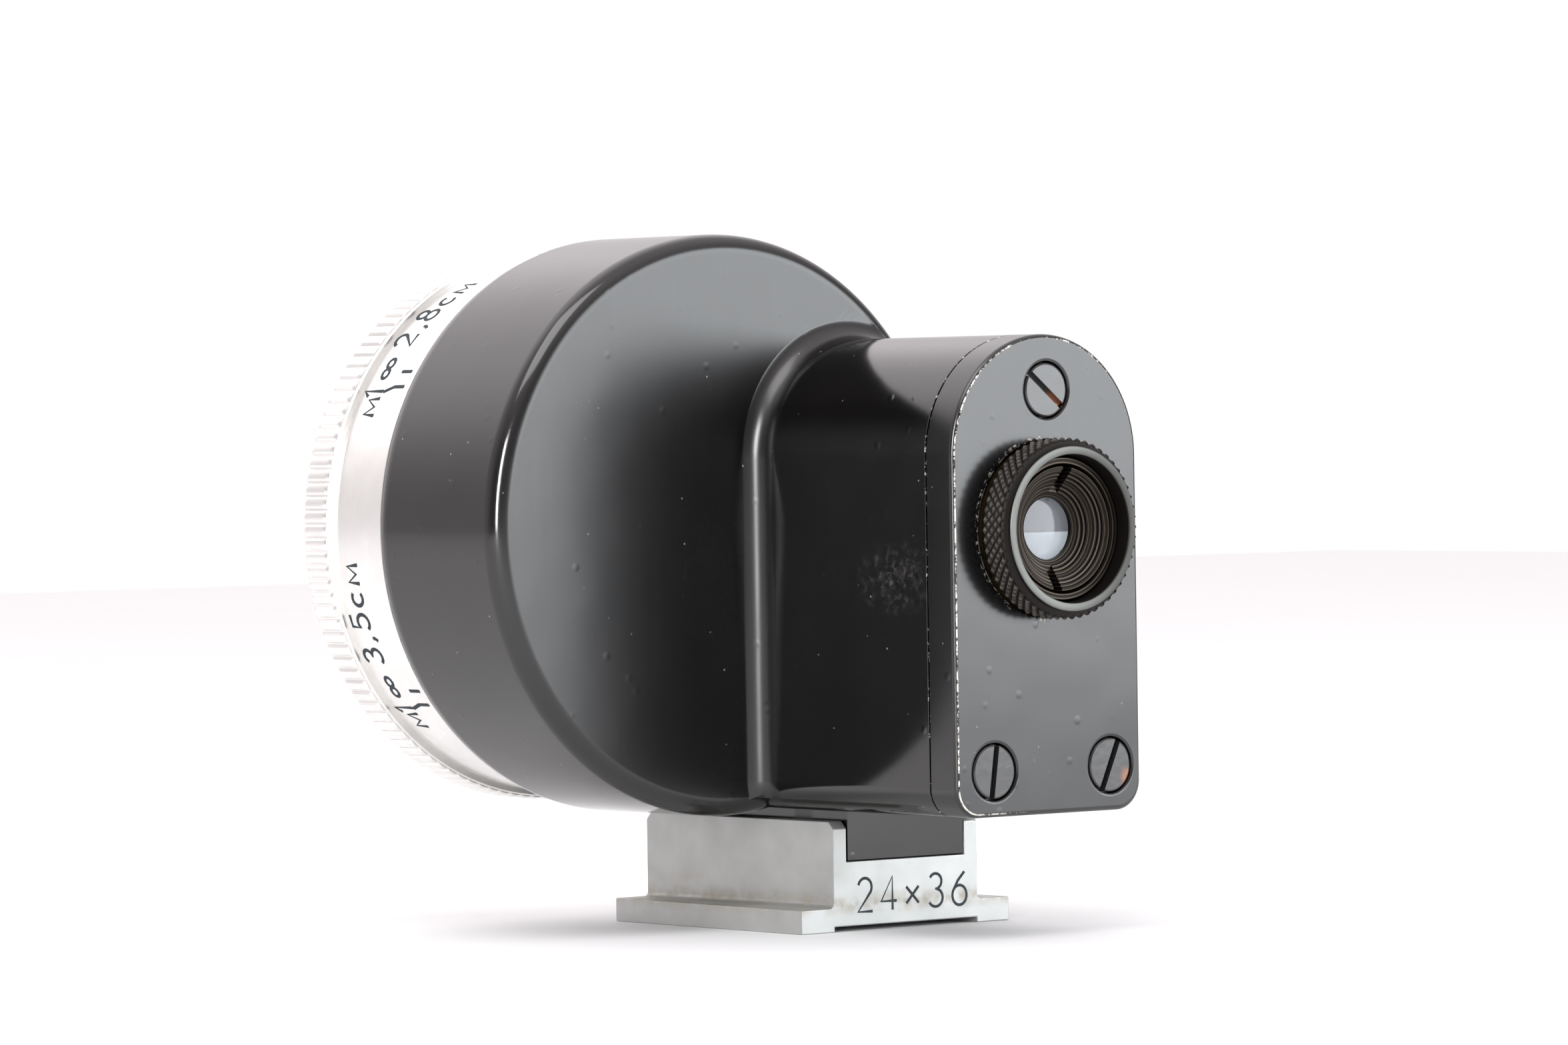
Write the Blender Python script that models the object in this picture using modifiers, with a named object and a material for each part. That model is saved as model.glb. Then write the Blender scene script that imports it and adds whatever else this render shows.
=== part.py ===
"""Universal turret viewfinder for a rangefinder camera.

The eye looks in at the back (-Y) and the turret of five objectives faces the scene (+Y). X points to the
right of a person looking through it, and Z is up. The origin is on the table, under the turret's axis, in
the plane of the drum's back face. All driving sizes are in millimetres.
"""

import math

import bmesh
import bpy
from mathutils import Matrix, Vector

MM = 0.001
SEAM = 0.1  # the joint between fixed pieces whose seam shows

# The round drum and the turret in front of it
AXIS_Z = 28.0
DRUM_R = 20.0
DRUM_BACK_EDGE = 1.3
DRUM_LIP_START_Y = 12.4
DRUM_LIP_CURVE = 2.5
DRUM_LIP_DROP = 0.55
DRUM_BORE_R = 17.9
DRUM_WALL = 2.0
DRUM_BOSS_R, DRUM_BOSS_Y = 4.0, 8.0
PITCH_R = 10.7  # turret axis to each objective, and to the optical axis
SCALE_R = 18.8
SCALE_BACK_Y = 14.25
RIM_R = 19.45
RIM_BACK_Y = 20.42
RIM_FRONT_Y = 23.42
PLATE_FRONT_Y = 22.4
PLATE_BACK_Y = 21.3
FRONT_Y = 23.67

# The prism box behind the drum, and its rear cover
EYE_X = PITCH_R
EYE_Z = 27.6
BOX_HALF = 8.2
BOX_BOTTOM_Z = 8.35
BOX_CORNER_R = 2.0
ARCH_Z = 32.5
BOX_FRONT_Y = 3.0
SEAM_Y = -18.03
COVER_BACK_Y = -20.83
BOX_WALL = 1.6
FILLET_R = 1.75
FILLET_SINK = 0.05  # how far the blend runs into the drum's flat back
COVER_EDGE_R = 0.35
COVER_SCREWS = {"top": (EYE_X + 0.2, 36.94), "left": (EYE_X - 4.85, 11.4), "right": (EYE_X + 5.45, 11.45)}
SLOT_TURN = {"top": math.radians(39), "left": math.radians(98), "right": math.radians(114)}

# The accessory foot
FOOT_WIDTH = 18.6
FOOT_BACK_Y = -5.5
FOOT_LENGTH = 20.9
PLATE_T = 1.65
BLOCK_HALF = 6.45
BLOCK_TOP_Z = 7.6
CHANNEL_HALF = 5.27
CHANNEL_FLOOR_Z = 4.8
RECESS_HALF = 6.37
RECESS_T = 0.37
FOOT_FRONT_Y = FOOT_BACK_Y + FOOT_LENGTH
FOOT_SCREW_YS = {"rear": 0.2, "front": 9.8}

# The five objectives: focal length in mm -> (cell radius, rear end of the cell, front end of the cell)
OBJECTIVES = {
    135: (5.7, 18.0, FRONT_Y),
    85: (5.1, 16.5, 23.4),
    50: (4.4, 15.2, 23.3),
    35: (3.8, 14.0, 23.3),
    28: (3.3, 13.4, 23.3),
}
# Degrees between neighbouring objectives. From the right, the shorter focal lengths follow clockwise.
STATION = 72
PLATE_SCREW_ANGLES = (36, 180, 324)
PLATE_SCREW_R = 15.8

AXLE_R = 2.2
AXLE_BORE_R = 2.29
WHEEL_R = 5.2
WHEEL_YS = (8.6, 9.9)
BALL_R = 0.8
BALL_Y = sum(WHEEL_YS) / 2
BALL_Z = AXIS_Z - WHEEL_R - BALL_R - 0.12
SPRING_FOOT_Z = 15.7

FINE, MEDIUM, COARSE = 64, 28, 14  # steps round large, middling and small turned pieces


def clear_scene():
    for obj in list(bpy.data.objects):
        bpy.data.objects.remove(obj, do_unlink=True)


def new_collection(name, hidden=False):
    made = bpy.data.collections.new(name)
    made.hide_render = hidden
    bpy.context.scene.collection.children.link(made)
    return made


def new_material(name, colour, roughness, metallic=0.0, transmission=0.0):
    made = bpy.data.materials.new(name)
    made.use_nodes = True
    shader = made.node_tree.nodes["Principled BSDF"]
    shader.inputs["Base Color"].default_value = (*colour, 1.0)
    shader.inputs["Roughness"].default_value = roughness
    shader.inputs["Metallic"].default_value = metallic
    shader.inputs["Transmission Weight"].default_value = transmission
    return made


clear_scene()
PIECES = new_collection("turret_viewfinder")
TOOLS = new_collection("cutting_tools", hidden=True)
BLACK = (0.012, 0.011, 0.013)
FINISHES = {
    "black_enamel": (BLACK, 0.12),
    "satin_chrome": ((0.86, 0.86, 0.85), 0.32, 1.0),
    "foot_metal": ((0.72, 0.73, 0.72), 0.38, 1.0),
    "blackened_brass": ((0.09, 0.08, 0.06), 0.4, 0.8),
    "black_screw": ((0.03, 0.03, 0.03), 0.3, 0.6),
    "steel": ((0.55, 0.55, 0.56), 0.3, 1.0),
    "brass": ((0.72, 0.55, 0.25), 0.35, 1.0),
    "black_anodised": ((0.02, 0.02, 0.022), 0.5, 0.4),
    "optical_glass": ((0.9, 0.94, 0.96), 0.02, 0.0, 1.0),
    "spring_steel": ((0.4, 0.4, 0.42), 0.28, 1.0),
}


def add_piece(name, bm_or_mesh, finish=None, location=(0, 0, 0), turn=(0, 0, 0)):
    """An object for a piece of the viewfinder, or, with no finish, for a cutting tool."""
    if isinstance(bm_or_mesh, bmesh.types.BMesh):
        mesh = bpy.data.meshes.new(name)
        bm_or_mesh.to_mesh(mesh)
        bm_or_mesh.free()
    else:
        mesh = bm_or_mesh
    obj = bpy.data.objects.new(name, mesh)
    obj.location = Vector(location) * MM
    obj.rotation_euler = turn
    if finish is None:
        obj.hide_render = True
        obj.display_type = "WIRE"
        TOOLS.objects.link(obj)
    else:
        mesh.materials.append(bpy.data.materials.get(finish) or new_material(finish, *FINISHES[finish]))
        PIECES.objects.link(obj)
    return obj


AXIS_TURNS = {"Y": (-math.pi / 2, 0, 0), "Z": (0, 0, 0)}


def turned(name, profile, finish=None, centre=(0, AXIS_Z), steps=MEDIUM, ring=False, axis="Y"):
    """A turned piece. The profile lists (radius, height) from the top end down the outer side to the
    bottom end, and a ring's profile closes on itself. Along Y the centre is (x, z), along Z it is (x, y)."""
    bm = bmesh.new()
    verts = [bm.verts.new((radius * MM, 0, height * MM)) for radius, height in profile]
    for first, second in zip(verts, verts[1:] + verts[:1] if ring else verts[1:]):
        bm.edges.new((first, second))
    place = (centre[0], 0, centre[1]) if axis == "Y" else (centre[0], centre[1], 0)
    obj = add_piece(name, bm, finish, place, AXIS_TURNS[axis])
    screw = obj.modifiers.new("turn", "SCREW")
    screw.steps = screw.render_steps = steps
    screw.use_merge_vertices = True
    screw.merge_threshold = 0.000001
    return obj


def rod(name, radius, low, high, centre, finish=None, steps=COARSE, axis="Y"):
    profile = [(0, high), (radius, high), (radius, low), (0, low)]
    return turned(name, profile, finish, centre, steps, axis=axis)


def block(name, low, high, finish=None):
    """A box between two corners, in millimetres."""
    bm = bmesh.new()
    low, high = Vector(low) * MM, Vector(high) * MM
    place = Matrix.Translation((low + high) / 2) @ Matrix.Diagonal((*(high - low), 1))
    bmesh.ops.create_cube(bm, size=1.0, matrix=place)
    return add_piece(name, bm, finish)


def loft(name, rings, finish=None):
    """A closed solid through outlines of equal count, each a list of (x, y, z) in millimetres."""
    bm = bmesh.new()
    loops = [[bm.verts.new(Vector(point) * MM) for point in ring] for ring in rings]
    for first, second in zip(loops, loops[1:]):
        for i in range(len(first)):
            j = (i + 1) % len(first)
            bm.faces.new((first[i], first[j], second[j], second[i]))
    bm.faces.new(loops[0])
    bm.faces.new(loops[-1])
    bmesh.ops.recalc_face_normals(bm, faces=bm.faces[:])
    return add_piece(name, bm, finish)


def extruded(name, outline, low, high, finish=None, along="X"):
    """A flat outline given thickness: (y, z) points along X, or (x, z) points along Y."""
    def place(point, depth):
        return (depth, *point) if along == "X" else (point[0], depth, point[1])
    return loft(name, [[place(point, depth) for point in outline] for depth in (low, high)], finish)


def combine(obj, operation, *others):
    for other in others:
        step = obj.modifiers.new(f"{operation.lower()} {other.name}", "BOOLEAN")
        step.operation = operation
        step.object = other
        step.solver = "EXACT"
    return obj


def cut(obj, *others):
    return combine(obj, "DIFFERENCE", *others)


def join(obj, *others):
    return combine(obj, "UNION", *others)


def smooth(obj, angle=35):
    """Rounds the shading of a piece and keeps its corners crisp."""
    if obj.type == "MESH":
        obj.data.shade_smooth()
        obj.data.set_sharp_from_angle(angle=math.radians(angle))
    for step in obj.modifiers:
        if step.type == "SCREW":
            step.use_smooth_shade = True
    return obj


def arc(centre, radius, start_deg, end_deg, count):
    """Points on an arc, both ends included."""
    turns = [math.radians(start_deg + (end_deg - start_deg) * i / (count - 1)) for i in range(count)]
    return [(centre[0] + radius * math.cos(t), centre[1] + radius * math.sin(t)) for t in turns]


def box_outline(grow=0.0, arch_steps=19):
    """The prism box's outline with an arched top, as (x, z, outward x, outward z), grown by an offset."""
    corner = BOX_CORNER_R
    centres = [
        ((EYE_X, ARCH_Z), BOX_HALF, 0, 180, arch_steps),
        ((EYE_X - BOX_HALF + corner, BOX_BOTTOM_Z + corner), corner, 180, 270, 4),
        ((EYE_X + BOX_HALF - corner, BOX_BOTTOM_Z + corner), corner, 270, 360, 4),
    ]
    points = []
    for centre, radius, start, end, count in centres:
        outward = arc((0, 0), 1, start, end, count)
        for (x, z), (nx, nz) in zip(arc(centre, radius, start, end, count), outward):
            points.append((x + nx * grow, z + nz * grow, nx, nz))
    return points


def box_ring(y, grow=0.0):
    return [(x, y, z) for x, z, _, _ in box_outline(grow)]


def fillet_ring(y, grow):
    """The box's outline at one level of the hollow blend into the drum's back. The blend fades out where it
    would run past the drum's edge."""
    reach = DRUM_R - 1.0
    ring = []
    for x, z, nx, nz in box_outline():
        along = x * nx + (z - AXIS_Z) * nz
        room = along * along - x * x - (z - AXIS_Z) ** 2 + reach * reach
        allowed = max(0.0, -along + math.sqrt(room)) if room > 0 else 0.0
        step = min(grow, allowed)
        ring.append((x + nx * step, y, z + nz * step))
    return ring


def circle_at(angle_deg, radius):
    """A point (x, z) round the turret's axis, at an angle counted from the right, towards the top."""
    turn = math.radians(angle_deg)
    return radius * math.cos(turn), AXIS_Z + radius * math.sin(turn)


def build_housing():
    lip = [
        (DRUM_R - DRUM_LIP_CURVE * (1 - math.cos(t)), DRUM_LIP_START_Y + DRUM_LIP_CURVE * math.sin(t))
        for t in (math.acos(1 - DRUM_LIP_DROP / DRUM_LIP_CURVE) * i / 3 for i in range(3, -1, -1))
    ]
    lip_y = lip[0][1]
    edge = arc((DRUM_R - DRUM_BACK_EDGE, DRUM_BACK_EDGE), DRUM_BACK_EDGE, 0, -90, 5)
    boss_r, boss_y = DRUM_BOSS_R, DRUM_BOSS_Y
    profile = [(0, boss_y), (boss_r, boss_y), (boss_r, DRUM_WALL), (DRUM_BORE_R, DRUM_WALL)]
    profile += [(DRUM_BORE_R, lip_y - 0.6), (DRUM_BORE_R + 0.5, lip_y), *lip, *edge, (0, 0)]
    housing = turned("housing", profile, "black_enamel", steps=FINE)

    blend = [(-FILLET_R + (FILLET_R + FILLET_SINK) * math.sin(t), FILLET_R * (1 - math.cos(t)))
             for t in (math.radians(angle) for angle in (0, 22.5, 45, 67.5, 90))]
    rings = [box_ring(SEAM_Y)] + [fillet_ring(y, grow) for y, grow in blend]
    rings.append(fillet_ring(BOX_FRONT_Y, FILLET_R))
    box = loft("box_body", rings)
    tongue_half = CHANNEL_HALF - SEAM
    tongue = block("tongue", (EYE_X - tongue_half, FOOT_BACK_Y, CHANNEL_FLOOR_Z + SEAM),
                   (EYE_X + tongue_half, DRUM_LIP_START_Y, 14.0))
    toe = block("tongue_toe", (EYE_X - tongue_half, DRUM_LIP_START_Y - 1, CHANNEL_FLOOR_Z + SEAM),
                (EYE_X + tongue_half, FOOT_FRONT_Y, BLOCK_TOP_Z))
    join(housing, box, tongue, toe)

    inner = [(x, z) for x, z, _, _ in box_outline(-BOX_WALL)]
    hollow = extruded("box_hollow", inner, SEAM_Y - 1, 0.4, along="Y")
    posts = [rod(f"post_{place}", 2.6 if place == "top" else 2.3, SEAM_Y - 2, -11.0, centre)
             for place, centre in COVER_SCREWS.items()]
    cut(hollow, *posts)
    bore = [(boss_r, lip_y + 1), (DRUM_BORE_R, lip_y + 1), (DRUM_BORE_R, DRUM_WALL), (boss_r, DRUM_WALL)]
    drum_hollow = turned("drum_hollow", bore, steps=FINE, ring=True)
    window = block("light_window", (EYE_X - 5.4, -0.5, EYE_Z - 4), (EYE_X + 5.4, 3.0, EYE_Z + 4.4))
    holes = [rod(f"post_hole_{place}", 0.95, SEAM_Y - 1, -12.5, centre)
             for place, centre in COVER_SCREWS.items()]
    holes.append(rod("axle_hole", 1.5, 1.2, boss_y + 1, (0, AXIS_Z)))
    holes.append(rod("detent_screw_hole", 0.85, 0.8, 3.0, (0, 12.4)))
    holes += [rod(f"bracket_hole_{z:.0f}", 0.9, -0.5, 2.5, (EYE_X, z)) for z in BRACKET_SCREW_ZS.values()]
    holes += [rod(f"foot_screw_hole_{place}", 1.15, 3.0, 9.5, (EYE_X, y), axis="Z")
              for place, y in FOOT_SCREW_YS.items()]
    cut(housing, hollow, drum_hollow, window, *holes)
    return smooth(housing)


BRACKET_SCREW_ZS = {"lower": 14.4, "upper": 34.6}


def build_rear_cover():
    rounding = [(COVER_BACK_Y + COVER_EDGE_R * (1 - math.sin(t)), -COVER_EDGE_R * (1 - math.cos(t)))
                for t in (0, math.pi / 4, math.pi / 2)]
    cover = loft("rear_cover", [box_ring(SEAM_Y - SEAM)] + [box_ring(y, grow) for y, grow in rounding],
                 "black_enamel")
    tools = [rod("eyepiece_hole", 5.95, COVER_BACK_Y - 1, SEAM_Y + 1, (EYE_X, EYE_Z), steps=MEDIUM)]
    for place, centre in COVER_SCREWS.items():
        profile = [(0, SEAM_Y + 1), (1.15, SEAM_Y + 1), (1.15, -19.7), (1.95, -19.7),
                   (1.95, COVER_BACK_Y - 1), (0, COVER_BACK_Y - 1)]
        tools.append(turned(f"cover_screw_hole_{place}", profile, None, centre, 20))
    return smooth(cut(cover, *tools))


def slotted_screw(name, centre, head_r, head_y, shank_r, tip_y, slot_turn, finish, face=-1, steps=COARSE):
    """A cheese-head screw along Y. head_y holds the head's outer face and its underside. The slot is cut
    across the outer face, and face is -1 where that face looks back."""
    outer, under = head_y
    edge = 0.15
    if face < 0:
        profile = [(0, tip_y), (shank_r, tip_y), (shank_r, under), (head_r, under), (head_r, outer + edge),
                   (head_r - edge, outer), (0, outer)]
    else:
        profile = [(0, outer), (head_r - edge, outer), (head_r, outer - edge), (head_r, under),
                   (shank_r, under), (shank_r, tip_y), (0, tip_y)]
    screw = turned(name, profile, finish, centre, steps)
    slot = block(f"{name}_slot", (-head_r - 1, -0.45, -0.23), (head_r + 1, 0.45, 0.23))
    slot.location = Vector((centre[0], outer, centre[1])) * MM
    slot.rotation_euler = (0, slot_turn, 0)
    return smooth(cut(screw, slot))


def build_cover_screws():
    for place, centre in COVER_SCREWS.items():
        slotted_screw(f"cover_screw_{place}", centre, 1.83, (COVER_BACK_Y + 0.05, -19.85), 0.8, -13.2,
                      SLOT_TURN[place], "black_screw", steps=20)


def build_foot():
    low_x, high_x = EYE_X - FOOT_WIDTH / 2, EYE_X + FOOT_WIDTH / 2
    foot = block("foot", (low_x, FOOT_BACK_Y, 0), (high_x, FOOT_FRONT_Y, PLATE_T), "foot_metal")
    chamfer = 0.5
    side = [(FOOT_BACK_Y, PLATE_T - 1), (FOOT_FRONT_Y, PLATE_T - 1), (FOOT_FRONT_Y, BLOCK_TOP_Z - chamfer),
            (FOOT_FRONT_Y - chamfer, BLOCK_TOP_Z), (FOOT_BACK_Y + chamfer, BLOCK_TOP_Z),
            (FOOT_BACK_Y, BLOCK_TOP_Z - chamfer)]
    stem = extruded("foot_block", side, EYE_X - BLOCK_HALF, EYE_X + BLOCK_HALF)
    ends = (FOOT_BACK_Y - 1, FOOT_FRONT_Y + 1)
    channel = block("foot_channel", (EYE_X - CHANNEL_HALF, ends[0], CHANNEL_FLOOR_Z),
                    (EYE_X + CHANNEL_HALF, ends[1], BLOCK_TOP_Z + 1))
    recess = block("foot_recess", (EYE_X - RECESS_HALF, ends[0], -1),
                   (EYE_X + RECESS_HALF, ends[1], RECESS_T))
    join(foot, stem)
    cut(foot, channel, recess)
    for place, y in FOOT_SCREW_YS.items():
        profile = [(0, 6), (1.25, 6), (1.25, 2.1), (2.45, 0.6), (2.45, -1), (0, -1)]
        cut(foot, turned(f"foot_screw_seat_{place}", profile, None, (EYE_X, y), COARSE, axis="Z"))
    return foot


def build_foot_screws():
    for place, y in FOOT_SCREW_YS.items():
        profile = [(0, 9.0), (0.95, 9.0), (0.95, 2.1), (2.15, 0.65), (2.15, 0.45), (0, 0.45)]
        screw = turned(f"foot_screw_{place}", profile, "steel", (EYE_X, y), COARSE, axis="Z")
        slot = block(f"foot_screw_slot_{place}", (EYE_X - 3, y - 0.25, 0), (EYE_X + 3, y + 0.25, 0.9))
        smooth(cut(screw, slot))


def build_axle():
    front, shoulder, tail = 22.75, 8.3, 1.6
    spigot_r = 1.35
    profile = [(0, front), (AXLE_R, front), (AXLE_R, shoulder), (spigot_r, shoulder), (spigot_r, tail),
               (0, tail)]
    axle = turned("turret_axle", profile, "steel", steps=20)
    cut(axle, rod("axle_thread_hole", 1.0, 17.0, 24.0, (0, AXIS_Z)))
    smooth(axle)
    slotted_screw("axle_screw", (0, AXIS_Z), 3.3, (23.6, 22.95), 0.8, 18.0, math.radians(25), "steel",
                  face=1, steps=20)
    build_wave_washer()


def build_wave_washer():
    """The wavy washer that loads the turret: a flat ring bent into three low waves."""
    count, inner, outer, thickness, wave, middle_y = 30, 2.45, 3.5, 0.12, 0.06, 22.62
    bm = bmesh.new()
    loops = []
    for radius, lift in ((inner, 0), (outer, 0), (outer, thickness), (inner, thickness)):
        loop = []
        for i in range(count):
            turn = 2 * math.pi * i / count
            point = (radius * math.cos(turn), middle_y + lift + wave * math.sin(3 * turn),
                     AXIS_Z + radius * math.sin(turn))
            loop.append(bm.verts.new(Vector(point) * MM))
        loops.append(loop)
    for first, second in zip(loops, loops[1:] + loops[:1]):
        for i in range(count):
            j = (i + 1) % count
            bm.faces.new((first[i], first[j], second[j], second[i]))
    bmesh.ops.recalc_face_normals(bm, faces=bm.faces[:])
    return smooth(add_piece("axle_washer", bm, "spring_steel"))


def build_turret():
    """The knurled head, its front plate with the hub, the light baffle and the star wheel. Their origins lie
    on the turret's axis."""
    head_profile = [
        (18.1, RIM_FRONT_Y), (RIM_R - 0.3, RIM_FRONT_Y), (RIM_R, RIM_FRONT_Y - 0.3),
        (RIM_R, RIM_BACK_Y + 0.1), (RIM_R - 0.1, RIM_BACK_Y), (SCALE_R, RIM_BACK_Y),
        (SCALE_R, SCALE_BACK_Y), (17.5, SCALE_BACK_Y),
        (17.5, 11.6), (16.9, 11.6), (16.9, 21.0), (17.75, 21.0), (17.75, RIM_FRONT_Y - 0.35),
    ]
    head = turned("turret_head", head_profile, "satin_chrome", steps=FINE, ring=True)
    plate_profile = [(17.55, PLATE_FRONT_Y), (17.55, PLATE_BACK_Y), (4.2, PLATE_BACK_Y), (4.2, 10.2),
                     (AXLE_BORE_R, 10.2), (AXLE_BORE_R, PLATE_FRONT_Y)]
    plate = turned("turret_plate", plate_profile, "black_anodised", steps=40, ring=True)
    baffle_profile = [(16.7, 12.8), (16.7, 12.2), (4.5, 12.2), (4.5, 12.8)]
    baffle = turned("turret_baffle", baffle_profile, "black_anodised", steps=32, ring=True)
    wheel_back, wheel_front = WHEEL_YS
    wheel_profile = [(WHEEL_R, wheel_front), (WHEEL_R, wheel_back), (AXLE_BORE_R, wheel_back),
                     (AXLE_BORE_R, wheel_front)]
    wheel = turned("detent_wheel", wheel_profile, "steel", steps=35, ring=True)
    for i, (focal, (cell_r, _, _)) in enumerate(OBJECTIVES.items()):
        centre = circle_at(-STATION * i, PITCH_R)
        cut(plate, rod(f"plate_hole_{focal}", cell_r + 0.15, PLATE_BACK_Y - 1, PLATE_FRONT_Y + 1, centre,
                       steps=20))
        cut(baffle, rod(f"baffle_hole_{focal}", cell_r - 1.2, 11, 14, centre, steps=14))
        cut(wheel, rod(f"notch_{focal}", BALL_R, wheel_back - 1, wheel_front + 1,
                       circle_at(-STATION * i - 90, WHEEL_R + 0.35), steps=12))
    for angle in PLATE_SCREW_ANGLES:
        centre = circle_at(angle, PLATE_SCREW_R)
        join(head, rod(f"head_boss_{angle}", 1.7, 15.5, 20.8, centre))
        cut(head, rod(f"head_boss_hole_{angle}", 0.9, 16.2, 22.0, centre))
        seat = [(0, PLATE_FRONT_Y + 1), (1.5, PLATE_FRONT_Y + 1), (1.5, PLATE_FRONT_Y - 0.55),
                (0.95, PLATE_FRONT_Y - 0.55), (0.95, PLATE_BACK_Y - 1), (0, PLATE_BACK_Y - 1)]
        cut(plate, turned(f"plate_screw_seat_{angle}", seat, None, centre, COARSE))
        head_ys = (PLATE_FRONT_Y - 0.02, PLATE_FRONT_Y - 0.45)
        slotted_screw(f"plate_screw_{angle}", centre, 1.3, head_ys, 0.65, 17.0, math.radians(angle + 20),
                      "black_screw", face=1)
    for piece in (head, plate, baffle, wheel):
        smooth(piece)


def lens(name, centre, radius, back, front, bulge_back, bulge_front, finish="optical_glass", steps=16):
    """A lens along Y with spherical faces. back and front are its edge's ends, and each bulge is how far
    that face stands out in the middle."""
    count = 3
    shares = [i / count for i in range(count)]
    top = [(radius * s, front + bulge_front * (1 - s ** 2)) for s in shares]
    bottom = [(radius * s, back - bulge_back * (1 - s ** 2)) for s in reversed(shares)]
    return smooth(turned(name, [*top, (radius, front), (radius, back), *bottom], finish, centre, steps))


def build_objective(focal, angle, cell_r, back_y, front_y):
    """One objective of the turret: its cell, lens, retaining ring and, on the two widest, a rear lens."""
    centre = circle_at(angle, PITCH_R)
    seat_y, bore_r, flange_y = PLATE_FRONT_Y - 1.3, cell_r - 0.7, PLATE_FRONT_Y + 0.15
    profile = [(cell_r + 0.45, front_y), (cell_r + 0.6, front_y - 0.15), (cell_r + 0.6, flange_y),
               (cell_r, flange_y), (cell_r, back_y), (bore_r - 0.5, back_y), (bore_r - 0.5, seat_y),
               (bore_r, seat_y), (bore_r, front_y)]
    smooth(turned(f"objective_cell_{focal}", profile, "black_anodised", centre, 20, ring=True))
    lens(f"objective_lens_{focal}", centre, bore_r - 0.12, seat_y + 0.15, seat_y + 0.75, -0.1, 0.3)
    ring_back, ring_front = seat_y + 1.0, front_y - 0.35
    ring_outer, ring_inner = bore_r - 0.12, bore_r - 0.8
    ring_profile = [(ring_outer, ring_front), (ring_outer, ring_back), (ring_inner, ring_back),
                    (ring_inner + 0.3, ring_front)]
    smooth(turned(f"objective_ring_{focal}", ring_profile, "black_anodised", centre, 20, ring=True))
    if focal < 50:
        lens(f"objective_rear_lens_{focal}", centre, bore_r - 0.62, back_y + 0.6, back_y + 1.2, 0.2, 0.3)


def build_detent():
    """The click stop: a block on the drum's inner wall holds a sprung ball under the star wheel."""
    half = 2.4
    back, arm_top = DRUM_WALL + 0.2, 20.7
    side = [(back, 10.9), (4.4, 10.9), (4.4, 14.5), (10.9, 14.5), (10.9, arm_top), (back, arm_top)]
    holder = extruded("detent_block", side, -half, half, "brass")
    bore = rod("detent_bore", BALL_R + 0.12, SPRING_FOOT_Z - 0.3, 22.0, (0, BALL_Y), axis="Z")
    screw_hole = rod("detent_block_hole", 0.95, 1.0, 6.0, (0, 12.4))
    cut(holder, bore, screw_hole)
    slotted_screw("detent_block_screw", (0, 12.4), 1.3, (5.4, 4.55), 0.65, 1.1, math.radians(70), "steel",
                  face=1)

    bm = bmesh.new()
    bmesh.ops.create_uvsphere(bm, u_segments=12, v_segments=8, radius=BALL_R * MM)
    smooth(add_piece("detent_ball", bm, "steel", (0, BALL_Y, BALL_Z)))

    turns, per_turn, coil_r, wire_r = 4, 9, 0.6, 0.13
    height = BALL_Z - BALL_R - SPRING_FOOT_Z - 2 * wire_r - 0.1
    wire = bpy.data.curves.new("detent_spring", "CURVE")
    wire.dimensions = "3D"
    wire.bevel_depth = wire_r * MM
    wire.bevel_resolution = 0
    wire.use_fill_caps = True
    spline = wire.splines.new("POLY")
    count = turns * per_turn
    spline.points.add(count)
    for i in range(count + 1):
        turn = 2 * math.pi * i / per_turn
        point = (coil_r * math.cos(turn), coil_r * math.sin(turn), wire_r + height * i / count)
        spline.points[i].co = (*(Vector(point) * MM), 1)
    add_piece("detent_spring", wire, "spring_steel", (0, BALL_Y, SPRING_FOOT_Z))


PRISM_HALF = 5.2
PRISM_MIDDLE_Y = -8.4
PRISM_FOOT_Z = 13.4


def build_prisms():
    """The in-line erecting prisms. Light comes in level, is turned down to the roof and back up, and leaves
    level again."""
    sides = [(-1.2, 32.2), (-1.2, 23.2), (-6.86, PRISM_FOOT_Z), (-8.3, PRISM_FOOT_Z), (-8.3, 28.1)]
    low, high = EYE_X - PRISM_HALF, EYE_X + PRISM_HALF
    extruded("prism_front", sides, low, high, "optical_glass")
    mirrored = [(2 * PRISM_MIDDLE_Y - y, z) for y, z in sides]
    roof = extruded("prism_roof", mirrored, low, high, "optical_glass")
    bm = bmesh.new()
    bm.from_mesh(roof.data)
    for side in (-1, 1):
        cut_faces = bmesh.ops.bisect_plane(
            bm, geom=bm.verts[:] + bm.edges[:] + bm.faces[:], clear_outer=True,
            plane_co=Vector((EYE_X, 0, PRISM_FOOT_Z)) * MM, plane_no=(side, 0, -1))
        rim = [item for item in cut_faces["geom_cut"] if isinstance(item, bmesh.types.BMEdge)]
        bmesh.ops.contextual_create(bm, geom=rim)
    bmesh.ops.recalc_face_normals(bm, faces=bm.faces[:])
    bm.to_mesh(roof.data)
    bm.free()


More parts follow.
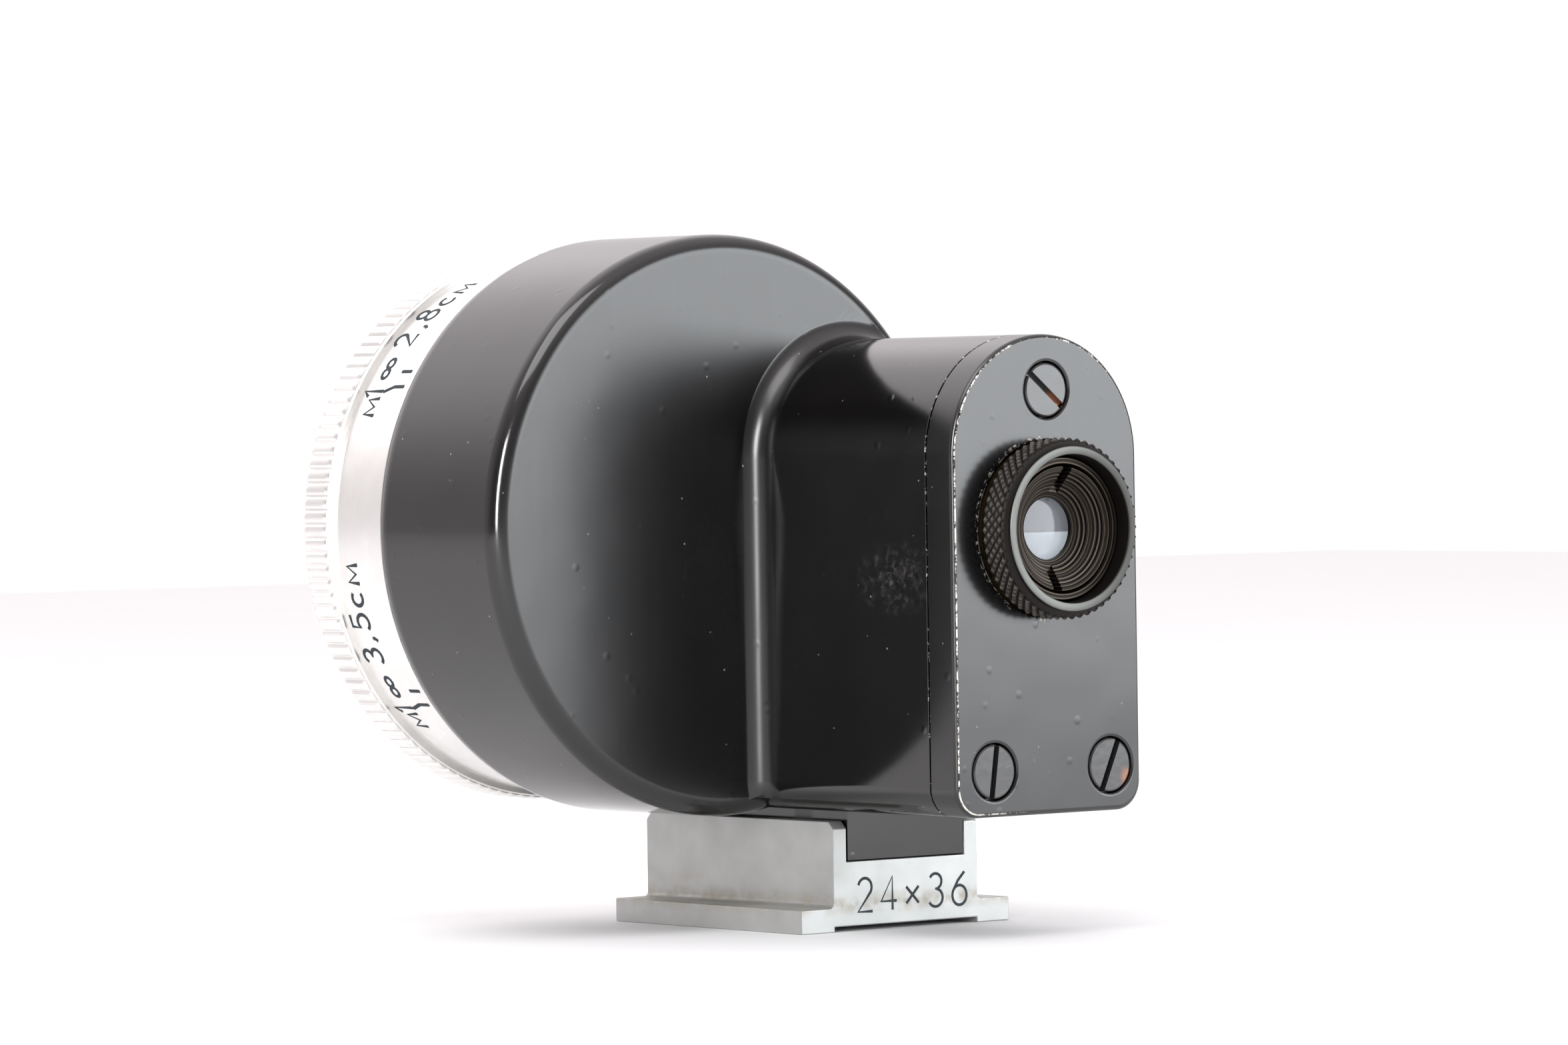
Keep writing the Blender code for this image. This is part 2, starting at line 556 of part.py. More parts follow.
def build_prism_bracket():
    """A cradle bent from sheet: a front plate with a window, and a cheek on each side of the prisms."""
    reach, sheet, front, back = 6.25, 0.6, 0.1, -15.0
    half_plate = [(3.0, 12.4), (reach, 16.0), (reach, 33.0), (3.2, 36.2)]
    plate = [(EYE_X + x, z) for x, z in half_plate] + [(EYE_X - x, z) for x, z in reversed(half_plate)]
    bracket = extruded("prism_bracket", plate, front - sheet, front, "black_anodised", along="Y")
    for side, x in (("left", EYE_X - reach), ("right", EYE_X + reach - sheet)):
        join(bracket, block(f"cheek_{side}", (x, back, 16.5), (x + sheet, front, 33.0)))
    window = block("bracket_window", (EYE_X - 4.9, -2, EYE_Z - 3.9), (EYE_X + 4.9, 2, EYE_Z + 4.3))
    holes = [rod(f"bracket_clearance_{place}", 0.95, -2, 1, (EYE_X, z))
             for place, z in BRACKET_SCREW_ZS.items()]
    cut(bracket, window, *holes)
    for place, z in BRACKET_SCREW_ZS.items():
        slotted_screw(f"bracket_screw_{place}", (EYE_X, z), 1.4, (-1.45, -0.65), 0.65, 1.8,
                      math.radians(z * 7), "steel")
    lift, half = 0.4, 4.9
    top = [(-1.5, 32.0), (PRISM_MIDDLE_Y, 28.05), (2 * PRISM_MIDDLE_Y + 1.5, 32.0)]
    strip = [(y, z + lift) for y, z in top] + [(y, z + lift + 0.35) for y, z in reversed(top)]
    extruded("prism_clamp", strip, EYE_X - half, EYE_X + half, "spring_steel")


def build_field_group():
    centre = (EYE_X, EYE_Z + 0.2)
    mask = rod("field_mask", 6.2, 2.3, 2.8, centre, "black_anodised", steps=24)
    cut(mask, block("mask_window", (EYE_X - 4.2, 1, EYE_Z - 2.6), (EYE_X + 4.2, 4, EYE_Z + 3.0)))
    lens("field_lens", centre, 5.1, 3.4, 4.0, 0.1, 0.7, steps=20)
    profile = [(6.2, 5.5), (6.2, 3.1), (5.35, 3.1), (5.35, 5.0), (4.7, 5.0), (4.7, 5.5)]
    smooth(turned("field_lens_cell", profile, "black_anodised", centre, 24, ring=True))
    smooth(mask)


EYEPIECE = (EYE_X, EYE_Z)
RING_BACK_Y = -FRONT_Y
RING_FRONT_Y = COVER_BACK_Y - 0.35


def build_eyepiece():
    """The eyepiece: a bush fixed in the cover, a keyed lens tube that slides, and a knurled ring on the
    tube whose thread in the bush drives both in and out."""
    bush_profile = [(5.42, -17.3), (6.3, -17.3), (6.3, -17.85), (5.75, -17.85), (5.75, -20.8), (5.42, -20.8)]
    bush = turned("eyepiece_bush", bush_profile, "brass", EYEPIECE, 32, ring=True)
    pin_y, pin_low, pin_high = -17.58, EYE_Z + 4.4, EYE_Z + 6.2
    cut(bush, block("guide_pin_notch", (EYE_X - 0.6, -18.2, EYE_Z + 4.6), (EYE_X + 0.6, -17.0, EYE_Z + 6.6)))
    smooth(bush)
    smooth(rod("guide_pin", 0.3, pin_low, pin_high, (EYE_X, pin_y), "steel", 12, axis="Z"))

    tube_profile = [(3.0, -17.0), (4.8, -17.0), (4.8, -22.6), (4.35, -22.6), (4.35, -20.5), (3.95, -20.5),
                    (3.95, -18.4), (3.0, -18.4)]
    tube = turned("eyepiece_tube", tube_profile, "blackened_brass", EYEPIECE, 32, ring=True)
    cut(tube, block("guide_slot", (EYE_X - 0.5, -18.3, EYE_Z + 4.15), (EYE_X + 0.5, -16.0, EYE_Z + 5.5)))
    smooth(tube)
    lens("eyepiece_lens", EYEPIECE, 3.8, -19.9, -19.0, 0.55, 0.35, steps=24)

    funnel = [(3.7, -20.65), (4.2, -20.65), (4.2, -22.5), (3.95, -22.5), (2.1, -20.95), (2.1, -20.65)]
    ring = turned("eyepiece_retaining_ring", funnel, "blackened_brass", EYEPIECE, 32, ring=True)
    slot = block("spanner_slot", (-0.38, -2, -6), (0.38, -0.65, 6))
    slot.location = Vector((EYE_X, -20.9, EYE_Z)) * MM
    slot.rotation_euler = (0, math.radians(7), 0)
    smooth(cut(ring, slot))

    knurled = [
        (4.93, -18.9), (5.3, -18.9), (5.3, RING_FRONT_Y), (5.95, RING_FRONT_Y), (6.1, RING_FRONT_Y - 0.15),
        (6.1, -22.95), (5.9, -23.18), (5.54, -23.3), (5.54, RING_BACK_Y), (4.97, RING_BACK_Y),
    ]
    smooth(turned("eyepiece_ring", knurled, "blackened_brass", EYEPIECE, 36, ring=True))


build_housing()
build_rear_cover()
build_cover_screws()
build_foot()
build_foot_screws()
build_axle()
build_turret()
for i, (focal, sizes) in enumerate(OBJECTIVES.items()):
    build_objective(focal, -STATION * i, *sizes)
build_detent()
build_prisms()
build_prism_bracket()
build_field_group()
build_eyepiece()
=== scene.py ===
# %% [markdown]
# # A turret viewfinder, built round its engineering model
# This is a small optical finder that slides into a camera's accessory shoe. Five objectives sit on a
# knurled turret in front of a black enamelled drum, and a prism box behind the drum carries a focusing
# eyepiece. The engineering model gives every place and size, and the cells below make what the eye sees.
# We begin by loading it.
# %% Load the engineering model
import math

import bmesh
import bpy
from mathutils import Matrix, Vector


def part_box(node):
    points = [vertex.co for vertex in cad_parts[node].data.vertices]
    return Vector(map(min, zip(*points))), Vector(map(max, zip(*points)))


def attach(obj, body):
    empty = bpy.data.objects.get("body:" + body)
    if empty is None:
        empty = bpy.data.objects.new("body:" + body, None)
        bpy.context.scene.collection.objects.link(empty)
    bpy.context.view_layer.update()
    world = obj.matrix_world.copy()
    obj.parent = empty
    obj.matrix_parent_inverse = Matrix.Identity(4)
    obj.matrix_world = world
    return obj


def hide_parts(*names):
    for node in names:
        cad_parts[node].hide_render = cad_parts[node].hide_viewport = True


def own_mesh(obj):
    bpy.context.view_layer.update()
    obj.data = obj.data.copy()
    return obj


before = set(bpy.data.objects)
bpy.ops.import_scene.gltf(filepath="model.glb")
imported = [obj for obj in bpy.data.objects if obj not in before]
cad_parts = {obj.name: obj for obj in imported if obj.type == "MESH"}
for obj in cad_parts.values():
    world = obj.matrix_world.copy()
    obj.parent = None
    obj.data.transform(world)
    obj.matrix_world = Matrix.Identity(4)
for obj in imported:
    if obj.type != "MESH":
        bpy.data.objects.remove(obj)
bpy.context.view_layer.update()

MM = 0.001  # the model is in metres, and its makers think in millimetres
scene = bpy.context.scene

# %% [markdown]
# ## Where things are
# Every position is read from the engineering model's own pieces, so the looks can't drift away from it.
# The turret turns about a line along Y. The eyepiece, the prism box and the foot share a second line
# beside it, which is the optical axis.
# %% Read the axes from the model


def box_mm(node):
    return [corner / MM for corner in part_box(node)]


def centre_of(node):
    low, high = box_mm(node)
    return (low + high) / 2


turret_mid = centre_of("turret_head")
AXIS_X, AXIS_Z = round(turret_mid.x, 3), round(turret_mid.z, 3)
eye_mid = centre_of("eyepiece_ring")
EYE_X, EYE_Z = round(eye_mid.x, 3), round(eye_mid.z, 3)
TURRET = (AXIS_X, AXIS_Z)
EYE = (EYE_X, EYE_Z)
print("turret axis", TURRET, "optical axis", EYE)

# %% [markdown]
# ## The camera
# A small object is best seen through a long lens from near its own height, because that keeps its circles
# round and its edges parallel. This camera is a 165 mm lens half a metre away, a little behind and to the
# left of the finder, and it leans by less than a degree.
# %% Place the camera
CAMERA_AT = Vector((-304.7, -385.9, 35.6)) * MM
CAMERA_YAW, CAMERA_PITCH, CAMERA_ROLL = (math.radians(a) for a in (38.73, -0.87, -0.89))
LENS_MM, SENSOR_MM = 164.46, 36.0

level_ahead = Vector((math.sin(CAMERA_YAW), math.cos(CAMERA_YAW), 0))
ahead = level_ahead * math.cos(CAMERA_PITCH) + Vector((0, 0, math.sin(CAMERA_PITCH)))
level_right = Vector((math.cos(CAMERA_YAW), -math.sin(CAMERA_YAW), 0))
level_up = level_right.cross(ahead)
right = math.cos(CAMERA_ROLL) * level_right + math.sin(CAMERA_ROLL) * level_up
up = math.cos(CAMERA_ROLL) * level_up - math.sin(CAMERA_ROLL) * level_right
camera = bpy.data.objects.new("camera", bpy.data.cameras.new("camera"))
camera.data.lens, camera.data.sensor_width = LENS_MM, SENSOR_MM
camera.data.clip_start, camera.data.clip_end = 0.05, 20
turn = Matrix((right, up, -ahead)).transposed().to_4x4()
camera.matrix_world = Matrix.Translation(CAMERA_AT) @ turn
scene.collection.objects.link(camera)
scene.camera = camera
print("camera", [round(c, 3) for c in CAMERA_AT], "m")

# %% [markdown]
# ## Shader maths in plain Python
# A procedural finish is a chain of small sums, such as "bright where the paint is thin and the noise is
# high". Wiring each sum by hand hides the idea. The `Value` class below wraps one output socket and gives
# it Python's operators, so that `1 - mask * 0.5` adds its Math nodes by itself. Any other node comes from
# `Finish.node`, which takes the node's type, its settings and its inputs.
# %% Wrap sockets and nodes


class Value:
    """An output socket that can be used in sums."""

    def __init__(self, finish, socket):
        self.finish, self.socket = finish, socket

    def maths(self, operation, *others, swap=False, clamp=False):
        terms = (others[0], self) if swap else (self, *others)
        return self.finish.node("ShaderNodeMath", dict(operation=operation, use_clamp=clamp), *terms)

    def __add__(self, other):
        return self.maths("ADD", other)

    def __sub__(self, other):
        return self.maths("SUBTRACT", other)

    def __rsub__(self, other):
        return self.maths("SUBTRACT", other, swap=True)

    def __mul__(self, other):
        return self.maths("MULTIPLY", other)

    def __truediv__(self, other):
        return self.maths("DIVIDE", other)

    def __pow__(self, other):
        return self.maths("POWER", other)

    __radd__, __rmul__ = __add__, __mul__

    def abs(self):
        return self.maths("ABSOLUTE")

    def above(self, edge, soft):
        """0 below the edge, 1 above it, with a soft step."""
        smooth = dict(interpolation_type="SMOOTHSTEP")
        return self.finish.node("ShaderNodeMapRange", smooth, self, edge - soft, edge + soft, 0.0, 1.0)

    def below(self, edge, soft):
        return 1 - self.above(edge, soft)

    def near(self, middle, reach):
        """1 at the middle, falling to 0 at the reach."""
        return (1 - (self - middle).abs() / reach).maths("MAXIMUM", 0.0)


class Finish:
    """A material under construction. Its inputs dictionary holds the constants of the shader."""

    def __init__(self, name, **constants):
        self.material = bpy.data.materials.new(name)
        self.material.use_nodes = True
        self.tree = self.material.node_tree
        self.shader = self.tree.nodes["Principled BSDF"]
        for key, value in constants.items():
            self.shader.inputs[key.replace("_", " ")].default_value = value

    def node(self, kind, settings=None, *values, output=0, **named):
        made = self.tree.nodes.new(kind)
        for key, value in (settings or {}).items():
            setattr(made, key, value)
        for key, value in [*enumerate(values), *named.items()]:
            self.join(value, made.inputs[key if isinstance(key, int) else key.replace("_", " ")])
        return Value(self, made.outputs[output])

    def join(self, value, socket):
        if isinstance(value, Value):
            self.tree.links.new(value.socket, socket)
        else:
            socket.default_value = value

    def place(self, scale=(1, 1, 1), turn=(0, 0, 0), shift=(0, 0, 0)):
        """The object's own coordinates in millimetres, moved, turned and stretched."""
        spot = self.node("ShaderNodeTexCoord", output=3)
        sizes = tuple(s / MM for s in scale)
        return self.node("ShaderNodeMapping", dict(vector_type="POINT"), spot, shift, turn, sizes)

    def axes(self):
        """The x, y and z of a point in millimetres, as three values."""
        parts = self.place()
        split = self.node("ShaderNodeSeparateXYZ", None, parts)
        return [Value(self, split.socket.node.outputs[i]) for i in range(3)]

    def round_axis(self, centre):
        """The distance from a line along Y through (x, z)."""
        x, _, z = self.axes()
        dx, dz = x - centre[0], z - centre[1]
        return (dx * dx + dz * dz) ** 0.5

    def noise(self, scale, detail=3.0, stretch=(1, 1, 1), seed=0.0, rough=0.5):
        """Smooth noise from 0 to 1. The scale counts features in each millimetre."""
        where = self.place(stretch)
        return self.node("ShaderNodeTexNoise", dict(noise_dimensions="4D"), where, W=seed, Scale=scale,
                         Detail=detail, Roughness=rough)

    def cells(self, scale, seed_shift=(0, 0, 0), feature="F1"):
        """The distance to the nearest of many scattered points."""
        where = self.place(shift=seed_shift)
        return self.node("ShaderNodeTexVoronoi", dict(feature=feature), where, Scale=scale)

    def blend(self, mask, first, second):
        """One colour where the mask is 0, the other where it is 1."""
        mix = self.tree.nodes.new("ShaderNodeMix")
        mix.data_type = "RGBA"
        self.join(mask, mix.inputs[0])
        for colour, socket in ((first, mix.inputs[6]), (second, mix.inputs[7])):
            self.join(colour if isinstance(colour, Value) else (*colour, 1.0), socket)
        return Value(self, mix.outputs[2])

    def bump(self, height, strength, depth_mm):
        """A surface shaped by a height from 0 to 1 of the given depth."""
        made = self.node("ShaderNodeBump", None, Height=height, Strength=strength, Distance=depth_mm * MM)
        self.join(made, self.shader.inputs["Normal"])
        return made

    def set(self, **inputs):
        for key, value in inputs.items():
            self.join(value, self.shader.inputs[key.replace("_", " ")])
        return self


print("shader maths ready")

# %% [markdown]
# ## Solids from profiles, outlines and cutters
# A lathe makes most of this object, so the first helper turns a profile about a line. The second joins a
# row of outlines into a solid, which is how a moulded blend is drawn. The others cut, fuse and settle:
# a settled piece is one plain mesh whose large flats stay flat and whose edges catch the light. A
# **weighted normal** does that, because it lets the big faces decide the shading at a rounded edge.
# %% Turn, loft, cut and settle


def solid(name, bm, material=None):
    bmesh.ops.remove_doubles(bm, verts=bm.verts[:], dist=0.0005 * MM)
    bmesh.ops.recalc_face_normals(bm, faces=bm.faces[:])
    mesh = bpy.data.meshes.new(name)
    bm.to_mesh(mesh)
    bm.free()
    obj = bpy.data.objects.new(name, mesh)
    scene.collection.objects.link(obj)
    if material:
        mesh.materials.append(material)
    return obj


def skin(bm, loops, closed):
    """Joins rings of vertices with quads. An open row of rings gets a cap at each end."""
    pairs = list(zip(loops, loops[1:] + loops[:1] if closed else loops[1:]))
    for first, second in pairs:
        for i in range(len(first)):
            j = (i + 1) % len(first)
            bm.faces.new((first[i], first[j], second[j], second[i]))
    if not closed:
        bm.faces.new(loops[0][::-1])
        bm.faces.new(loops[-1])


def turned(name, profile, centre, steps=96, material=None, ring=False, axis="Y"):
    """A lathe piece. The profile is a row of (radius, height), and a ring's profile closes on itself."""
    bm = bmesh.new()
    loops = []
    for radius, height in profile:
        loop = []
        for i in range(steps):
            angle = 2 * math.pi * i / steps
            x, z = centre[0] + radius * math.cos(angle), centre[1] + radius * math.sin(angle)
            point = (x, height, z) if axis == "Y" else (x, z, height)
            loop.append(bm.verts.new(Vector(point) * MM))
        loops.append(loop)
    skin(bm, loops, ring)
    return solid(name, bm, material)


def rod(name, radius, low, high, centre, steps=48, axis="Y"):
    return turned(name, [(radius, low), (radius, high)], centre, steps, axis=axis)


def lofted(name, rings, material=None):
    bm = bmesh.new()
    skin(bm, [[bm.verts.new(Vector(point) * MM) for point in ring] for ring in rings], False)
    return solid(name, bm, material)


def slab(name, low, high, material=None):
    (x0, y0, z0), (x1, y1, z1) = low, high
    ring = [(x0, z0), (x1, z0), (x1, z1), (x0, z1)]
    return lofted(name, [[(x, y, z) for x, z in ring] for y in (y0, y1)], material)


def boolean(obj, operation, tools):
    for tool in tools:
        step = obj.modifiers.new(tool.name, "BOOLEAN")
        step.operation, step.object, step.solver = operation, tool, "EXACT"
    return settle(obj, tools)


def carve(obj, *tools):
    return boolean(obj, "DIFFERENCE", tools)


def fuse(obj, *tools):
    return boolean(obj, "UNION", tools)


def settle(obj, tools=()):
    """Turns an object and its modifiers into one plain mesh, and clears away the tools."""
    graph = bpy.context.evaluated_depsgraph_get()
    graph.update()
    mesh = bpy.data.meshes.new_from_object(obj.evaluated_get(graph), depsgraph=graph)
    obj.modifiers.clear()
    obj.data = mesh
    for tool in tools:
        bpy.data.objects.remove(tool, do_unlink=True)
    return obj


def eased(obj, width_mm, angle=30, segments=3):
    """Rounds every edge sharper than the angle."""
    step = obj.modifiers.new("ease", "BEVEL")
    step.width, step.segments, step.limit_method = width_mm * MM, segments, "ANGLE"
    step.angle_limit = math.radians(angle)
    step.harden_normals = False
    return settle(obj)


def shade(obj, angle=28):
    """Smooth shading with crisp corners and flat flats."""
    obj.data.shade_smooth()
    obj.data.set_sharp_from_angle(angle=math.radians(angle))
    step = obj.modifiers.new("weigh", "WEIGHTED_NORMAL")
    step.keep_sharp, step.weight = True, 60
    return settle(obj)


def placed(obj, body, slot, *replaced, material=None, angle=28):
    """The last step for every visible piece: shade it, give it its finish and hang it on its body."""
    shade(obj, angle)
    if material:
        obj.data.materials.clear()
        obj.data.materials.append(material)
    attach(obj, body)
    if replaced:
        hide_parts(*replaced)
    print(obj.name, len(obj.data.polygons), "faces")
    return obj


def arc(centre, radius, start, end, count):
    """Points on an arc from one angle in degrees to another, both included."""
    angles = [math.radians(start + (end - start) * i / (count - 1)) for i in range(count)]
    return [(centre[0] + radius * math.cos(a), centre[1] + radius * math.sin(a)) for a in angles]


print("modelling helpers ready")

# %% [markdown]
# ## The finishes
# The body is stove enamel: thick black paint, nearly liquid, that pools in hollows and thins at edges. So
# its finish is a dark, faintly brown base, a low roughness that wanders, a slow swell in the surface, fine
# drips, and dust. Where a hand rubs the edges the paint has chipped to bright metal, and each painted
# piece gives its own edge mask for that.
# %% Black enamel
BARE_METAL = (0.78, 0.75, 0.69)
PAINT_DARK, PAINT_BROWN = (0.0005, 0.0005, 0.0007), (0.0017, 0.0012, 0.0014)


def black_enamel(name, wear, gloss=0.065, haze=0.05, smudge=None, peel_y=None, dark=PAINT_DARK,
                 brown=PAINT_BROWN):
    """Enamel, with a function from the finish to a mask of the worn edges. peel_y is the y of a sprayed flat
    whose fine orange peel blurs what it mirrors, and smudge is the (y, z) and the reaches of a dirty spot."""
    enamel = Finish(name, IOR=1.5, Specular_IOR_Level=0.8)
    cloud = enamel.noise(0.12, detail=2, seed=1.0)
    drips = enamel.noise(2.2, detail=4, stretch=(1, 1, 0.07), seed=2.0)
    specks = enamel.cells(0.9).below(0.055, 0.02) * enamel.noise(0.35, seed=3.0).above(0.54, 0.03)
    chips = wear(enamel)
    dull = 0.0
    if peel_y is not None:
        depth = enamel.axes()[1]
        dull = depth.below(peel_y + 0.22, 0.18) * depth.above(peel_y - 1.7, 0.4) * 0.15
    paint = enamel.blend(cloud.above(0.5, 0.25), dark, brown)
    dusty = enamel.blend(specks * 0.5, paint, (0.45, 0.43, 0.41))
    if smudge:
        _, y, z = enamel.axes()
        spot = (y.near(smudge[0], smudge[2]) * z.near(smudge[1], smudge[3])) ** 0.7
        film = spot * enamel.noise(1.6, detail=7, seed=7.0, rough=0.75).above(0.60, 0.14)
        dusty = enamel.blend(film * 0.2, dusty, (0.5, 0.48, 0.47))
    enamel.set(Base_Color=enamel.blend(chips, dusty, BARE_METAL), Metallic=chips * 0.9,
               Roughness=gloss + haze * cloud + dull + drips * 0.04 + specks * 0.4 + chips * 0.25)
    swell = enamel.noise(0.14, detail=1, seed=4.0) * 0.5 + drips * 0.006 + specks * 0.12 - chips * 0.12
    pimples = enamel.cells(0.45, (5, 1, 3)).below(0.10, 0.07) * 0.07
    enamel.bump(swell + pimples, 1.0, 0.10)
    return enamel.material


SEAM_Y = box_mm("rear_cover")[1].y + 0.1
COVER_BACK_Y = box_mm("rear_cover")[0].y


def seam_chips(finish):
    _, y, _ = finish.axes()
    grain = finish.noise(2.6, detail=5, seed=5.0, rough=0.65)
    return y.below(SEAM_Y + 0.05, 0.03) * grain.above(0.60, 0.03)


def cover_chips(finish):
    """A rubbed line along the left of the cover's edge, chips at its seam, and one at the bottom corner."""
    x, y, z = finish.axes()
    grain = finish.noise(2.4, detail=5, seed=6.0, rough=0.7)
    edge = y.above(COVER_BACK_Y + 0.008, 0.005) * y.below(COVER_BACK_Y + 0.045, 0.015)
    rubbed = edge * x.below(EYE_X - 4.0, 2.5) * grain.above(0.50, 0.04)
    crown = edge * z.above(38.0, 1.0) * grain.above(0.56, 0.03)
    seam = y.above(SEAM_Y - 0.17, 0.02) * grain.above(0.61, 0.03)
    corner = edge * z.below(9.6, 0.8) * x.below(EYE_X - 6.2, 0.8) * grain.above(0.38, 0.04)
    away = 1.0
    for name in ("top", "left", "right"):
        mid = centre_of("cover_screw_" + name)
        away = finish.round_axis((mid.x, mid.z)).above(2.45, 0.05) * away
    worn = (rubbed + crown + seam + corner).maths("MINIMUM", 1.0) * away
    around = finish.round_axis(EYE)
    mouth = around.above(5.9, 0.03) * around.below(6.28, 0.05) * y.below(COVER_BACK_Y + 0.1, 0.05)
    return (worn + mouth * grain.above(0.57, 0.04) * 0.4).maths("MINIMUM", 1.0)


housing_paint = black_enamel("housing_enamel", seam_chips, smudge=(-14.6, 24.4, 4.0, 2.6), peel_y=0.0)
cover_paint = black_enamel("cover_enamel", cover_chips, gloss=0.15, haze=0.06, dark=(0.002, 0.0021, 0.0023),
                           brown=(0.004, 0.0038, 0.004))
print("enamel", [m.name for m in (housing_paint, cover_paint)])

# %% [markdown]
# ## Metals
# The turret is satin chrome, which is chrome over a fine circular grain. The foot is plain alloy, brushed
# and a little dirty in its corners. The eyepiece is blackened brass: the black lies in the hollows and is
# rubbed off the crests, so its mask follows the distance from the eyepiece's axis.
# %% Chrome, alloy, brass and steel


def turned_metal(name, light, dark, metallic=1.0, roughness=0.3, grain=(0.08, 3.0, 0.08)):
    """A machined metal with tool marks round a line along Y."""
    metal = Finish(name)
    marks = metal.noise(1.6, detail=5, stretch=grain, seed=1.0)
    cloud = metal.noise(0.4, detail=3, seed=2.0)
    metal.set(Base_Color=metal.blend(cloud.above(0.5, 0.3), light, dark), Metallic=metallic,
              Roughness=roughness + (cloud - 0.5) * 0.12 + (marks - 0.5) * 0.15)
    metal.bump(marks, 0.5, 0.006)
    return metal.material


chrome = turned_metal("satin_chrome", (0.89, 0.88, 0.86), (0.81, 0.80, 0.78), roughness=0.30)
bright_steel = turned_metal("bright_steel", (0.62, 0.62, 0.63), (0.48, 0.48, 0.50), roughness=0.26)
spring_steel = turned_metal("spring_steel", (0.42, 0.43, 0.46), (0.33, 0.33, 0.35), roughness=0.22)
yellow_brass = turned_metal("yellow_brass", (0.78, 0.60, 0.30), (0.62, 0.45, 0.20), roughness=0.30)
black_anodised = turned_metal("black_anodised", (0.020, 0.020, 0.022), (0.032, 0.031, 0.032), metallic=0.2,
                              roughness=0.42, grain=(1, 1, 1))
plate_black = turned_metal("plate_anodised", (0.022, 0.022, 0.024), (0.034, 0.033, 0.034), metallic=0.25,
                           roughness=0.36, grain=(1.2, 1, 1.2))

alloy = Finish("foot_alloy")
foot_low, foot_high = box_mm("foot")
_, _, height = alloy.axes()
brushing = alloy.noise(1.8, detail=5, stretch=(1, 0.10, 1), seed=1.0)
patches = alloy.noise(0.45, detail=4, seed=2.0)
in_corner = height.near(1.9, 0.9) * alloy.noise(0.8, detail=5, seed=3.0, rough=0.65).above(0.50, 0.12)
streaks = alloy.noise(0.5, detail=5, stretch=(1, 0.35, 1), seed=4.0).above(0.60, 0.10)
grime = in_corner * 0.8 + height.near(3.2, 1.6) * streaks * 0.3
clean = alloy.blend(patches.above(0.5, 0.3), (0.495, 0.50, 0.49), (0.43, 0.44, 0.43))
alloy.set(Base_Color=alloy.blend(grime * 0.75, clean, (0.33, 0.27, 0.19)), Metallic=0.75 - grime * 0.35,
          Roughness=0.42 + patches * 0.08 + grime * 0.2)
alloy.bump(brushing * 0.6 + patches * 0.4, 0.5, 0.015)

worn_and_shaded_brass = Finish("knurled_brass")
brass_x, brass_y, _ = worn_and_shaded_brass.axes()
eye_r = worn_and_shaded_brass.round_axis(EYE)
scuff = worn_and_shaded_brass.noise(2.0, detail=5, seed=1.0, rough=0.65)
crest = eye_r.above(6.02, 0.05) * scuff.above(0.42, 0.16)
RIM_Y = box_mm("eyepiece_ring")[0].y
# Painted shade: the rim's worn grey is painted darker on its right side, away from the light.
rim_shaded_side = brass_x.above(EYE_X + 1.5, 3.5)
rim_wear_and_shade = brass_y.below(RIM_Y + 0.08, 0.03) * eye_r.above(5.02, 0.02) * (1 - rim_shaded_side * 0.6)
rubbed = worn_and_shaded_brass.blend(crest * 0.7, (0.014, 0.012, 0.011), (0.12, 0.11, 0.095))
worn_and_shaded_brass.set(Base_Color=worn_and_shaded_brass.blend(rim_wear_and_shade * (0.65 + 0.35 * scuff), rubbed, (0.16, 0.165, 0.155)),
               Metallic=0.8, Roughness=0.44 - rim_wear_and_shade * 0.06 + scuff * 0.10)
worn_and_shaded_brass.bump(scuff, 0.4, 0.012)

funnel_brass = Finish("blackened_brass")
funnel_r = funnel_brass.round_axis(EYE)
turning = funnel_brass.node("ShaderNodeMath", dict(operation="SINE"), funnel_r * 23.0) * 0.5 + 0.5
patina = funnel_brass.noise(1.3, detail=4, seed=2.0)
shine = turning.above(0.72, 0.2) * (0.35 + 0.65 * patina)
funnel_brass.set(Base_Color=funnel_brass.blend(shine, (0.010, 0.008, 0.007), (0.085, 0.068, 0.048)),
                 Metallic=0.85, Roughness=0.30 + patina * 0.15)
funnel_brass.bump(turning, 0.35, 0.02)

old_screw = Finish("painted_screw", Specular_IOR_Level=1.0)
screw_x, screw_y, screw_z = old_screw.axes()
top_x, _, top_z = centre_of("cover_screw_top")
right_x, _, right_z = centre_of("cover_screw_right")
in_slot = screw_x.near(top_x + 1.05, 1.0) * screw_z.near(top_z - 0.85, 1.0)
in_slot = in_slot * screw_y.above(COVER_BACK_Y + 0.12, 0.05)
at_edge = screw_x.near(right_x + 1.55, 0.7) * screw_z.near(right_z - 0.9, 0.9)
blotches = old_screw.noise(1.4, detail=4, seed=1.0).above(0.42, 0.12)
rust = ((in_slot * 3 + at_edge * 2) * blotches).maths("MINIMUM", 1.0)
film = old_screw.noise(0.7, detail=3, seed=2.0)
old_paint = old_screw.blend(film, (0.009, 0.009, 0.010), (0.017, 0.016, 0.016))
old_screw.set(Base_Color=old_screw.blend(rust, old_paint, (0.21, 0.085, 0.045)), Metallic=0.1 + rust * 0.3,
              Roughness=0.17 + film * 0.08)
old_screw.bump(old_screw.noise(1.6, detail=4, seed=3.0), 0.5, 0.02)

ink = Finish("dark_inlay")
ink.set(Base_Color=ink.blend(ink.noise(3.0, detail=3), (0.010, 0.018, 0.024), (0.022, 0.036, 0.044)),
        Roughness=0.6 + 0.2 * ink.noise(2.0))
print("metals and ink ready")
